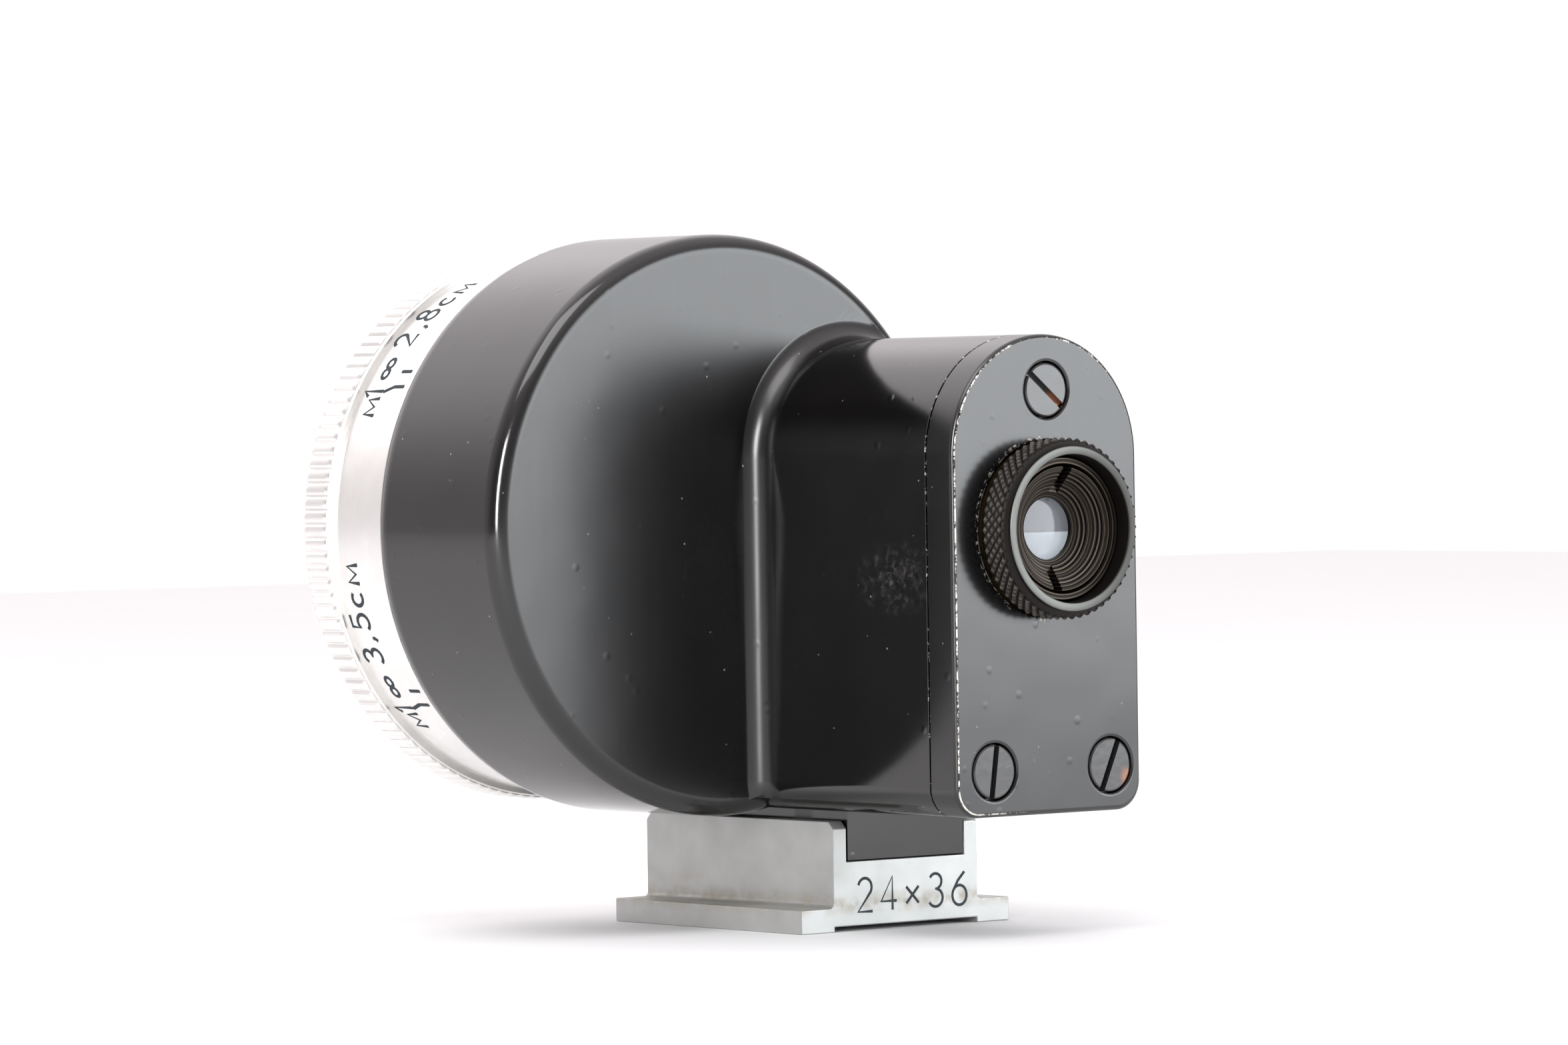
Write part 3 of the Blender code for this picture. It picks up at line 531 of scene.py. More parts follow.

# %% [markdown]
# ## Glass
# Real glass is clear, and its colour comes from what stands behind it. The objectives are clear with a
# faint blue bloom. In the eyepiece one sees the bright scene that the prisms bring in, split by the roof
# edge, with a little dust. That picture is far away inside, so it is painted on the eye lens as a faint
# painted glow, lighter below the roof edge and darker above it.
# %% Clear and seen-through glass
clear_glass = Finish("optical_glass", Transmission_Weight=1.0, IOR=1.52)
bloom = clear_glass.noise(0.5, detail=2, seed=1.0)
clear_glass.set(Base_Color=clear_glass.blend(bloom, (0.86, 0.93, 1.0), (0.95, 0.96, 0.99)),
                Roughness=0.006 * bloom)
prism_glass = Finish("prism_glass", Transmission_Weight=0.85, IOR=1.57)
grind = prism_glass.noise(1.5, detail=3, seed=2.0)
prism_glass.set(Base_Color=prism_glass.blend(grind, (0.78, 0.86, 0.84), (0.86, 0.90, 0.88)),
                Roughness=0.05 + 0.12 * grind)

# Painted light: the eye lens glows though it is no lamp. Its emission and base colour are a painted view of
# the lit scene.
eye_glass_painted_glow = Finish("eye_glass_painted_glow", Emission_Strength=0.55, IOR=1.5)
glass_x, _, glass_z = eye_glass_painted_glow.axes()
lower = glass_z.below(EYE_Z - 0.25, 0.05)
haze = eye_glass_painted_glow.noise(0.9, detail=3, seed=3.0)
# Painted view: lighter below the roof edge and darker above it, with grey haze and dark dust specks.
painted_view = eye_glass_painted_glow.blend(lower, (0.15, 0.16, 0.18), (0.52, 0.57, 0.62))
painted_view = eye_glass_painted_glow.blend(haze * 0.25, painted_view, (0.40, 0.41, 0.43))
dirt = eye_glass_painted_glow.cells(0.55, (1.2, 0, 0.7)).below(0.13, 0.06) * glass_x.above(EYE_X + 0.4, 0.3)
painted_view = eye_glass_painted_glow.blend(dirt * 0.85, painted_view, (0.10, 0.12, 0.14))
eye_glass_painted_glow.set(Base_Color=eye_glass_painted_glow.blend(0.5 + 0.2 * haze, painted_view, (0.02, 0.02, 0.02)), Emission_Color=painted_view,
              Roughness=0.06 + 0.08 * haze)
print("glass ready")

# %% [markdown]
# ## The enamelled housing
# The housing is one casting: a round drum, an arched box behind it, and a tongue underneath that sits in
# the foot. The box grows out of the drum with a hollow blend, and that blend is what catches the light,
# so it is lofted as a row of outlines that swell along a quarter circle. The drum is turned, with a soft
# back edge and a lip that curls in towards the turret.
# %% Draw the housing's outlines
DRUM_R = box_mm("housing")[1].z - AXIS_Z
BOX_LOW, BOX_HIGH = box_mm("rear_cover")
BOX_HALF = (BOX_HIGH.x - BOX_LOW.x) / 2
ARCH_Z, BOX_BOTTOM_Z, BOX_CORNER_R = BOX_HIGH.z - BOX_HALF, BOX_LOW.z, 2.0
BLEND_R, BLEND_SINK, BLEND_REACH = 1.75, 0.05, 19.0
BACK_EDGE_R, LIP_START_Y, LIP_R, LIP_DROP = 1.3, 12.4, 2.5, 0.55
DRUM_BORE_R, DRUM_WALL, BOX_WALL, BOSS_R = 17.9, 2.0, 1.6, 4.0
COVER_SCREWS = {}
for name in ("top", "left", "right"):
    mid = centre_of("cover_screw_" + name)
    COVER_SCREWS[name] = (round(mid.x, 3), round(mid.z, 3))


def box_outline(grow=0.0, fine=1):
    """Points (x, z, outward x, outward z) round the arched box."""
    low_x, low_z = BOX_HALF - BOX_CORNER_R, BOX_BOTTOM_Z + BOX_CORNER_R
    points = []
    for centre, radius, start, end, count in (
        ((EYE_X, ARCH_Z), BOX_HALF, 0, 180, 24 * fine + 1),
        ((EYE_X - low_x, low_z), BOX_CORNER_R, 180, 270, 4 * fine + 1),
        ((EYE_X + low_x, low_z), BOX_CORNER_R, 270, 360, 4 * fine + 1),
    ):
        outward = arc((0, 0), 1, start, end, count)
        for (x, z), (nx, nz) in zip(arc(centre, radius, start, end, count), outward):
            points.append((x + nx * grow, z + nz * grow, nx, nz))
    return points


def box_ring(y, grow=0.0):
    return [(x, y, z) for x, z, _, _ in box_outline(grow, 3)]


def blend_ring(y, grow):
    """The box's outline inside the blend, held back where it would pass the drum's edge."""
    ring = []
    for x, z, nx, nz in box_outline(0.0, 3):
        along = x * nx + (z - AXIS_Z) * nz
        room = along * along - x * x - (z - AXIS_Z) ** 2 + BLEND_REACH ** 2
        step = min(grow, max(0.0, -along + math.sqrt(room)) if room > 0 else 0.0)
        ring.append((x + nx * step, y, z + nz * step))
    return ring


print("box half width", round(BOX_HALF, 2), "arch centre", round(ARCH_Z, 2))

# %% [markdown]
# ## One casting from four solids
# The drum, the lofted box, the tongue and its toe are fused into one body. Then the hollows, the window
# between them and the axle's hole are carved out, and three posts are added for the cover's screws.
# %% Build the housing
lip_turn = math.degrees(math.acos(1 - LIP_DROP / LIP_R))
lip = arc((DRUM_R - LIP_R, LIP_START_Y), LIP_R, lip_turn, 0, 8)
back_edge = arc((DRUM_R - BACK_EDGE_R, BACK_EDGE_R), BACK_EDGE_R, 0, -90, 14)
lip_y = lip[0][1]
drum_profile = [(0.01, 8.0), (BOSS_R, 8.0), (BOSS_R, DRUM_WALL), (DRUM_BORE_R, DRUM_WALL),
                (DRUM_BORE_R, lip_y - 0.6), (DRUM_BORE_R + 0.5, lip_y), *lip, *back_edge, (0.01, 0)]
drum = turned("housing_shell", drum_profile, TURRET, 200)
sweep = [math.radians(90 * i / 16) for i in range(17)]
rings = [box_ring(SEAM_Y, -0.06), box_ring(SEAM_Y + 0.02, -0.02), box_ring(SEAM_Y + 0.07)]
rings += [blend_ring(-BLEND_R + (BLEND_R + BLEND_SINK) * math.sin(t), BLEND_R * (1 - math.cos(t)))
          for t in sweep]
rings.append(blend_ring(DRUM_WALL + 0.4, BLEND_R))
tongue_half, tongue_z = 5.17, 4.9
foot_y0, foot_y1 = foot_low.y, foot_high.y
tongue = slab("tongue", (EYE_X - tongue_half, foot_y0, tongue_z), (EYE_X + tongue_half, LIP_START_Y, 14.0))
toe = slab("toe", (EYE_X - tongue_half, LIP_START_Y - 1, tongue_z), (EYE_X + tongue_half, foot_y1, 7.6))
fuse(drum, lofted("box", rings), tongue, toe)
inside = box_outline(-BOX_WALL, 1)
hollow = lofted("hollow", [[(x, y, z) for x, z, _, _ in inside] for y in (SEAM_Y - 1, 0.4)])
bore_profile = [(BOSS_R, lip_y + 1), (DRUM_BORE_R, lip_y + 1), (DRUM_BORE_R, DRUM_WALL), (BOSS_R, DRUM_WALL)]
bore = turned("bore", bore_profile, TURRET, 96, ring=True)
window = slab("window", (EYE_X - 5.4, -0.5, EYE_Z - 4), (EYE_X + 5.4, 3.0, EYE_Z + 4.4))
carve(drum, hollow, bore, window, rod("axle_hole", 1.5, 1.2, 9.0, TURRET))
fuse(drum, *[rod("post_" + name, 2.6 if name == "top" else 2.3, SEAM_Y + 0.3, -11.0, centre)
             for name, centre in COVER_SCREWS.items()])
carve(drum, *[rod("post_hole_" + name, 0.95, SEAM_Y - 1, -12.5, centre, 24)
              for name, centre in COVER_SCREWS.items()])
placed(drum, "frame", "housing_enamel", "housing", material=housing_paint, angle=32)

# %% [markdown]
# ## The rear cover
# The cover closes the box. It has the same arched outline, a small round along its back edge where the
# paint has worn through, a hole for the eyepiece and three counterbores. Each counterbore has a soft
# shoulder, because paint never keeps a sharp corner.
# %% Build the cover
EDGE_R = 0.35
edge_sweep = [math.radians(90 * i / 8) for i in range(9)]
cover_rings = [box_ring(SEAM_Y - 0.1, -0.06), box_ring(SEAM_Y - 0.12, -0.02), box_ring(SEAM_Y - 0.17)]
cover_rings += [box_ring(COVER_BACK_Y + EDGE_R * (1 - math.sin(t)), -EDGE_R * (1 - math.cos(t)))
                for t in edge_sweep]
cover = lofted("rear_cover_plate", cover_rings[::-1])
seats = []
for name, centre in COVER_SCREWS.items():
    seat = [(0.01, SEAM_Y + 1), (1.15, SEAM_Y + 1), (1.15, -19.7), (1.93, -19.7), (1.93, COVER_BACK_Y + 0.16),
            (1.97, COVER_BACK_Y + 0.07), (2.07, COVER_BACK_Y + 0.01), (2.3, COVER_BACK_Y - 0.02), (2.3, -22),
            (0.01, -22)]
    seats.append(turned(f"seat_{name}", seat, centre, 64))
hole = [(0.01, SEAM_Y + 1), (5.93, SEAM_Y + 1), (5.93, COVER_BACK_Y + 0.12), (6.0, COVER_BACK_Y + 0.03),
        (6.15, COVER_BACK_Y - 0.02), (6.15, -22), (0.01, -22)]
carve(cover, turned("eye_hole", hole, EYE, 128), *seats)
placed(cover, "frame", "cover_enamel", "rear_cover", material=cover_paint, angle=32)

# %% [markdown]
# ## One node tree for every set of screws
# Screws repeat, so **Geometry Nodes** place them. The tree takes a cloud of points, puts one screw on each,
# turns it about the screw's own axis by the point's `slot_turn`, makes the copies real and gives them
# their finish. Its inputs are named, and the modifier sets them by each socket's identifier.
# %% Write the node-tree helpers


class Tree:
    """A Geometry Nodes tree with named inputs."""

    def __init__(self, name, **inputs):
        self.group = bpy.data.node_groups.new(name, "GeometryNodeTree")
        self.identifiers = {}
        self.group.interface.new_socket("Geometry", in_out="INPUT", socket_type="NodeSocketGeometry")
        for label, kind in inputs.items():
            made = self.group.interface.new_socket(label, in_out="INPUT", socket_type="NodeSocket" + kind)
            self.identifiers[label] = made.identifier
        self.group.interface.new_socket("Geometry", in_out="OUTPUT", socket_type="NodeSocketGeometry")
        self.start = self.group.nodes.new("NodeGroupInput")
        self.end = self.group.nodes.new("NodeGroupOutput")

    def source(self, label="Geometry"):
        return self.start.outputs[label]

    def node(self, kind, settings=None, **links):
        made = self.group.nodes.new(kind if kind.startswith("Shader") else "GeometryNode" + kind)
        for key, value in (settings or {}).items():
            setattr(made, key, value)
        for key, value in links.items():
            socket = made.inputs[int(key[1:])] if key[0] == "_" else made.inputs[key.replace("_", " ")]
            if isinstance(value, bpy.types.NodeSocket):
                self.group.links.new(value, socket)
            else:
                socket.default_value = value
        return made

    def close(self, geometry):
        """Ends the tree in real geometry with its finish."""
        real = self.node("RealizeInstances", Geometry=geometry).outputs[0]
        done = self.node("SetMaterial", Geometry=real, Material=self.source("Finish")).outputs[0]
        self.group.links.new(done, self.end.inputs[0])
        return self

    def run(self, obj, **values):
        """Applies the tree to an object as a plain mesh."""
        step = obj.modifiers.new(self.group.name, "NODES")
        step.node_group = self.group
        for label, value in values.items():
            step[self.identifiers[label]] = value
        return settle(obj)


def cloud(name, points, **attributes):
    """A mesh of loose points in millimetres, each with its own numbers."""
    mesh = bpy.data.meshes.new(name)
    mesh.from_pydata([Vector(p) * MM for p in points], [], [])
    for label, values in attributes.items():
        mesh.attributes.new(label, "FLOAT", "POINT").data.foreach_set("value", values)
    obj = bpy.data.objects.new(name, mesh)
    scene.collection.objects.link(obj)
    return obj


screw_set = Tree("screw set", Screw="Object", Finish="Material")
turn_each = screw_set.node("InputNamedAttribute", dict(data_type="FLOAT"), Name="slot_turn").outputs[0]
spin = screw_set.node("ShaderNodeCombineXYZ", Y=turn_each).outputs[0]
one_screw = screw_set.node("ObjectInfo", Object=screw_set.source("Screw")).outputs["Geometry"]
screws = screw_set.node("InstanceOnPoints", Points=screw_set.source(), Instance=one_screw, Rotation=spin)
screw_set.close(screws.outputs[0])
print("screw tree inputs", list(screw_set.identifiers))

# %% [markdown]
# ## Slotted screws
# A cheese-head screw is a turned head with a slot sawn across it. The head is flat with a broken edge, so a
# ring of light runs round it. Every set below makes one screw at the origin, pointing along Y, and lets
# the tree copy it.
# %% Make and place the screws


def slotted(name, head_r, head_h, shank_r, length, slot_w, slot_d, face=-1):
    """One screw whose outer face is at y = 0, looking back for face -1 and forward for face 1."""
    edge = 0.14
    profile = [(0.01, 0.0), (head_r - edge, 0.0), (head_r - edge * 0.3, edge * 0.3), (head_r, edge),
               (head_r, head_h), (shank_r, head_h), (shank_r, length), (0.01, length)]
    made = turned(name, [(r, -y * face) for r, y in profile], (0, 0), 64)
    low, high = sorted((-slot_d * face, face))
    return carve(made, slab(name + "_slot", (-head_r - 1, low, -slot_w / 2), (head_r + 1, high, slot_w / 2)))


def screws_at(name, screw, points, turns, body, slot, finish, *nodes):
    made = screw_set.run(cloud(name, points, slot_turn=turns), Screw=screw, Finish=finish)
    bpy.data.objects.remove(screw, do_unlink=True)
    return placed(made, body, slot, *nodes, angle=18)


HEAD_Y, COVER_SLOTS = COVER_BACK_Y + 0.05, (39, 98, 114)
screws_at("cover_screws", slotted("screw", 1.83, 0.93, 0.8, 7.5, 0.46, 0.42),
          [(x, HEAD_Y, z) for x, z in COVER_SCREWS.values()], [math.radians(a) for a in COVER_SLOTS],
          "frame", "black_screw", old_screw.material, *["cover_screw_" + name for name in COVER_SCREWS])
PLATE_ANGLES = (36, 180, 324)
plate_names = [f"plate_screw_{a}" for a in PLATE_ANGLES]
screws_at("plate_screws", slotted("screw", 1.3, 0.42, 0.65, 5.3, 0.4, 0.28, face=1),
          [(centre_of(n).x, box_mm(n)[1].y, centre_of(n).z) for n in plate_names],
          [math.radians(a + 20) for a in PLATE_ANGLES], "turret", "black_screw", bright_steel, *plate_names)
axle_end = box_mm("axle_screw")[1].y
screws_at("axle_cap_screw", slotted("screw", 3.3, 0.65, 0.8, 5.6, 0.6, 0.42, face=1),
          [(AXIS_X, axle_end, AXIS_Z)], [math.radians(25)], "frame", "steel", bright_steel, "axle_screw")

# %% [markdown]
# ## The accessory foot
# The foot is a bar of alloy milled to a T, with a channel along its top for the housing's tongue. One
# drawn section pushed along Y gives all of it, including the small fillets above the side plates. The
# ends of the channel's walls are chamfered, and every edge is broken by a fine bevel.
# %% Build the foot
FOOT_HALF = (foot_high.x - foot_low.x) / 2
PLATE_T, BLOCK_HALF, FOOT_FILLET = 1.65, 6.45, 0.35
CHANNEL_HALF, CHANNEL_Z = 5.27, 4.8
RECESS_HALF, RECESS_T = 6.37, 0.37
block_top = foot_high.z
half = [(RECESS_HALF, RECESS_T), (RECESS_HALF, 0), (FOOT_HALF, 0), (FOOT_HALF, PLATE_T)]
fillet = arc((0, 0), FOOT_FILLET, 90, 0, 6)
half += [(BLOCK_HALF + FOOT_FILLET - x, PLATE_T + FOOT_FILLET - z) for x, z in fillet]
half += [(BLOCK_HALF, block_top), (CHANNEL_HALF, block_top), (CHANNEL_HALF, CHANNEL_Z)]
section = [(EYE_X + x, z) for x, z in half] + [(EYE_X - x, z) for x, z in reversed(half)]
foot = lofted("accessory_foot", [[(x, y, z) for x, z in section] for y in (foot_y0, foot_y1)])
CHAMFER = 0.5
wedges = []
for end, sign in ((foot_y0, -1), (foot_y1, 1)):
    beyond, below = end + sign, block_top - CHAMFER
    corner = [(end - sign * CHAMFER, block_top), (beyond, block_top), (beyond, below - 1), (end, below)]
    wedges.append(lofted("wedge", [[(x, y, z) for y, z in corner] for x in (EYE_X - 8, EYE_X + 8)]))
screw_ys = [centre_of(n).y for n in ("foot_screw_rear", "foot_screw_front")]
seat = [(0.01, 6), (1.25, 6), (1.25, 2.1), (2.45, 0.6), (2.45, -1), (0.01, -1)]
carve(foot, *wedges, *[turned("seat", seat, (EYE_X, y), 48, axis="Z") for y in screw_ys])
eased(foot, 0.09, angle=40, segments=2)
placed(foot, "frame", "foot_metal", "foot", material=alloy.material, angle=35)
for name, y in zip(("rear", "front"), screw_ys):
    profile = [(0.01, 9.0), (0.95, 9.0), (0.95, 2.1), (2.1, 0.68), (2.15, 0.6), (2.12, 0.47), (0.01, 0.45)]
    pin = turned(f"countersunk_screw_{name}", profile, (EYE_X, y), 48, axis="Z")
    carve(pin, slab("slot", (EYE_X - 3, y - 0.25, 0), (EYE_X + 3, y + 0.25, 0.9)))
    placed(pin, "frame", "steel", f"foot_screw_{name}", material=bright_steel)

# %% [markdown]
# ## One node tree for knurls
# A knurl is one small tooth repeated in rows round a line along Y. The tree counts its points, works out
# each one's angle from its index, puts every second row half a pitch round, and turns each copy to face
# outwards. The straight ribs of the turret are one row, and the eyepiece's diamonds are five.
# %% Write the belt tree
belt = Tree("belt of teeth", Tooth="Object", Count="Int", Rows="Int", Step="Float", Radius="Float",
            Start="Vector", Finish="Material")


def belt_maths(operation, *terms):
    numbered = {f"_{i}": term for i, term in enumerate(terms)}
    return belt.node("ShaderNodeMath", dict(operation=operation), **numbered).outputs[0]


index, count = belt.node("InputIndex").outputs[0], belt.source("Count")
row = belt_maths("FLOOR", belt_maths("DIVIDE", index, count))
shifted = belt_maths("ADD", index, belt_maths("MULTIPLY", belt_maths("MODULO", row, 2.0), 0.5))
angle = belt_maths("MULTIPLY", belt_maths("DIVIDE", shifted, count), 2 * math.pi)
across = belt_maths("MULTIPLY", belt_maths("COSINE", angle), belt.source("Radius"))
upward = belt_maths("MULTIPLY", belt_maths("SINE", angle), belt.source("Radius"))
along = belt_maths("MULTIPLY", row, belt.source("Step"))
offset = belt.node("ShaderNodeCombineXYZ", X=across, Y=along, Z=upward).outputs[0]
spot = belt.node("ShaderNodeVectorMath", dict(operation="ADD"), _0=offset, _1=belt.source("Start")).outputs[0]
facing = belt.node("ShaderNodeCombineXYZ", Y=belt_maths("MULTIPLY", angle, -1.0)).outputs[0]
total = belt_maths("MULTIPLY", count, belt.source("Rows"))
points = belt.node("Points", Count=total, Position=spot).outputs[0]
tooth = belt.node("ObjectInfo", Object=belt.source("Tooth")).outputs["Geometry"]
belt.close(belt.node("InstanceOnPoints", Points=points, Instance=tooth, Rotation=facing).outputs[0])


def belted(name, tooth, count, rows, step, radius, start, finish):
    """A mesh of teeth in millimetres. The tooth points outwards along its own +X and is used up."""
    made = belt.run(cloud(name, [(0, 0, 0)]), Tooth=tooth, Count=count, Rows=rows, Step=step * MM,
                    Radius=radius * MM, Start=tuple(v * MM for v in start), Finish=finish)
    bpy.data.objects.remove(tooth, do_unlink=True)
    return made


def joined(obj, *others):
    """One mesh of several closed bodies, each left as it is."""
    bm = bmesh.new()
    for other in (obj, *others):
        bm.from_mesh(other.data)
    bm.to_mesh(obj.data)
    bm.free()
    for other in others:
        bpy.data.objects.remove(other, do_unlink=True)
    return obj


print("belt tree inputs", list(belt.identifiers))

# %% [markdown]
# ## The turret head
# The head is turned from brass and chromed: a plain drum that carries the scales, then a raised rim with
# straight ribs to grip, then a lip round the black front plate. The ribs are rounded bars half sunk in the
# rim, so they leave narrow dark gaps between them as a cut knurl does.
# %% Build the turret head
SCALE_R = 18.8
RIM_R = (box_mm("turret_head")[1] - box_mm("turret_head")[0]).x / 2
RIM_BACK_Y, RIM_FRONT_Y, SCALE_BACK_Y = 20.42, box_mm("turret_head")[1].y, 14.25
CORE_R, RIBS = RIM_R - 0.2, 126
head_profile = [(17.5, 11.6), (17.5, SCALE_BACK_Y), (SCALE_R - 0.08, SCALE_BACK_Y),
                (SCALE_R, SCALE_BACK_Y + 0.08), (SCALE_R, RIM_BACK_Y), (CORE_R - 0.1, RIM_BACK_Y),
                (CORE_R, RIM_BACK_Y + 0.12), (CORE_R, RIM_FRONT_Y - 0.25),
                (CORE_R - 0.12, RIM_FRONT_Y - 0.04), (CORE_R - 0.3, RIM_FRONT_Y),
                (18.1, RIM_FRONT_Y), (17.75, RIM_FRONT_Y - 0.35), (17.75, 21.0), (16.9, 21.0), (16.9, 11.6)]
head = turned("turret_head_chrome", head_profile, TURRET, 256, chrome, ring=True)


def rib(half_width, proud, low, high, sink=0.2):
    """A bar along Y with a rounded back, tapering at both ends."""
    taper = ((0.0, 0.35), (0.18, 0.9), (0.35, 1.0))
    stations = [(low + step, share) for step, share in taper]
    stations += [(high - step, share) for step, share in reversed(taper)]
    back = (0.15, 0.9, math.pi / 2, math.pi - 0.9, math.pi - 0.15)
    rings = []
    for y, share in stations:
        outline = [(-sink, -half_width), (-sink, half_width)]
        outline += [(proud * share * math.sin(a), half_width * math.cos(a)) for a in back]
        rings.append([(x, y, z) for x, z in outline])
    return lofted("rib", rings)


rib_belt = belted("ribs", rib(0.42, RIM_R - CORE_R, -1.3, 1.3), RIBS, 1, 0.0, CORE_R,
                  (AXIS_X, (RIM_BACK_Y + RIM_FRONT_Y) / 2, AXIS_Z), chrome)
placed(joined(head, rib_belt), "turret", "turret_chrome", "turret_head", material=chrome)

# %% [markdown]
# ## Engraved marks
# Each objective has a scale on the chromed drum: its focal length in centimetres, a line for far subjects
# and a second line for subjects one metre away, because a finder beside a lens must be nudged for close
# ones. The strokes are drawn flat as thin lines. A node tree gives them a body, and then each point is
# wrapped round the drum. The foot carries the size of the film frame in the same hand.
# %% Draw the characters


def bow(u, v, ru, rv, start, end, count=12):
    """An elliptical stroke between two angles in degrees."""
    return [(u + ru * math.cos(math.radians(start + (end - start) * i / count)),
             v + rv * math.sin(math.radians(start + (end - start) * i / count))) for i in range(count + 1)]


# Each character is a list of strokes in a box one unit high, centred on u = 0.
CHARACTERS = {
    "1": [[(-0.14, 0.74), (0.06, 1.0), (0.06, 0.0)]],
    "2": [bow(0, 0.73, 0.26, 0.27, 165, -38) + [(-0.27, 0.0), (0.28, 0.0)]],
    "3": [bow(-0.02, 0.765, 0.24, 0.235, 150, -88) + bow(-0.02, 0.27, 0.28, 0.27, 86, -150)],
    "4": [[(0.14, 0.0), (0.14, 1.0), (-0.3, 0.27), (0.3, 0.27)]],
    "5": [[(0.24, 1.0), (-0.18, 1.0), (-0.22, 0.55)] + bow(-0.03, 0.32, 0.29, 0.32, 128, -145)],
    "6": [[(0.2, 1.0), (-0.06, 0.74)] + bow(0, 0.3, 0.28, 0.3, 150, 510, 20)],
    "8": [bow(0, 0.76, 0.22, 0.24, -90, 270, 16), bow(0, 0.26, 0.28, 0.26, 90, 450, 18)],
    ",": [[(0.03, 0.08), (0.03, -0.02), (-0.06, -0.16)]],
    "m": [[(-0.32, 0.0), (-0.27, 0.58), (0.0, 0.12), (0.27, 0.58), (0.32, 0.0)]],
    "c": [bow(0, 0.29, 0.26, 0.29, 50, 310)],
    "far": [bow(-0.17, 0.29, 0.16, 0.14, 0, 360), bow(0.17, 0.29, 0.16, 0.14, 180, 540)],
    "x": [[(-0.24, 0.16), (0.24, 0.66)], [(-0.24, 0.66), (0.24, 0.16)]],
}
stroke_tree = Tree("engraved strokes", Radius="Float", Finish="Material")
lines = stroke_tree.node("MeshToCurve", Mesh=stroke_tree.source()).outputs[0]
pen = stroke_tree.node("CurvePrimitiveCircle", dict(mode="RADIUS"), Resolution=8,
                       Radius=stroke_tree.source("Radius")).outputs[0]
bodies = stroke_tree.node("CurveToMesh", Curve=lines, Profile_Curve=pen, Fill_Caps=True).outputs[0]
stroke_tree.close(bodies)


def strokes(name, lines_mm, width, finish, wrap, flatten=0.22):
    """Gives flat lines a body, then maps each point (u, v, height) in millimetres through wrap."""
    mesh = bpy.data.meshes.new(name)
    points = [Vector((u, v, 0)) * MM for line in lines_mm for u, v in line]
    edges, first = [], 0
    for line in lines_mm:
        edges += [(first + i, first + i + 1) for i in range(len(line) - 1)]
        first += len(line)
    mesh.from_pydata(points, edges, [])
    obj = bpy.data.objects.new(name, mesh)
    scene.collection.objects.link(obj)
    stroke_tree.run(obj, Radius=width / 2 * MM, Finish=finish)
    bm = bmesh.new()
    bm.from_mesh(obj.data)
    for vert in bm.verts:
        u, v, height = vert.co / MM
        vert.co = Vector(wrap(u, v, height * flatten)) * MM
    bmesh.ops.recalc_face_normals(bm, faces=bm.faces[:])
    bm.to_mesh(obj.data)
    bm.free()
    return obj


def written(character, u, v, height):
    return [[(u + a * height, v + b * height) for a, b in line] for line in CHARACTERS[character]]


print("characters", " ".join(CHARACTERS))

# %% [markdown]
# ## Five scales and a frame size
# The scales differ only in their number and their place, so one function writes them all. They follow each
# other at the same steps as the objectives.
# %% Mark the turret and the foot
DEGREE = SCALE_R * math.pi / 180  # millimetres along the drum for one degree
FAR_MARK, STATION = 233.5, 72     # degrees clockwise from the top, seen from behind
NUMBER_H, BASE_Y, NUMBER_V = 2.05, 15.7, 17.95
SCALES = ("3,5", "5", "8,5", "13,5", "2,8")


def scale_lines(number):
    """The lines of one scale, with u from its far mark in the reading direction and v towards the front."""
    lines = [[(0, BASE_Y), (0, BASE_Y + 1.15)],
             [(-3.8 * DEGREE, BASE_Y), (-3.8 * DEGREE, BASE_Y + 1.1), (-5.0 * DEGREE, NUMBER_V - 0.1)]]
    lines += written("m", -8.6 * DEGREE, NUMBER_V, NUMBER_H) + written("1", -5.2 * DEGREE, NUMBER_V, NUMBER_H)
    lines += written("far", 0.9 * DEGREE, NUMBER_V, NUMBER_H * 1.25)
    place = 8.8
    for character in number:
        lines += written(character, place * DEGREE, NUMBER_V, NUMBER_H)
        place += 4.0
    place += 1.2
    for character in "cm":
        lines += written(character, place * DEGREE, NUMBER_V, NUMBER_H)
        place += 5.2
    return lines


def on_drum(start):
    def wrap(u, v, height):
        turn = math.radians(start) + u / SCALE_R
        radius = SCALE_R + height + 0.004
        return AXIS_X + radius * math.sin(turn), v, AXIS_Z + radius * math.cos(turn)
    return wrap


scale_marks = joined(*[
    strokes("scale", scale_lines(number), 0.29, ink.material, on_drum(FAR_MARK - i * STATION))
    for i, number in enumerate(SCALES)])
scale_marks.name = "scale_marks"
placed(scale_marks, "turret", "turret_chrome", material=ink.material)
FRAME_H, FRAME_STEP = 2.3, 2.12
frame_lines = []
for i, character in enumerate("24x36"):
    frame_lines += written(character, EYE_X + 0.55 + (i - 2) * FRAME_STEP, 1.3, FRAME_H)
frame_mark = strokes("frame_size_mark", frame_lines, 0.21, ink.material,
                     lambda u, v, height: (u, foot_y0 - 0.004 - height, v))
placed(frame_mark, "frame", "foot_metal", material=ink.material)

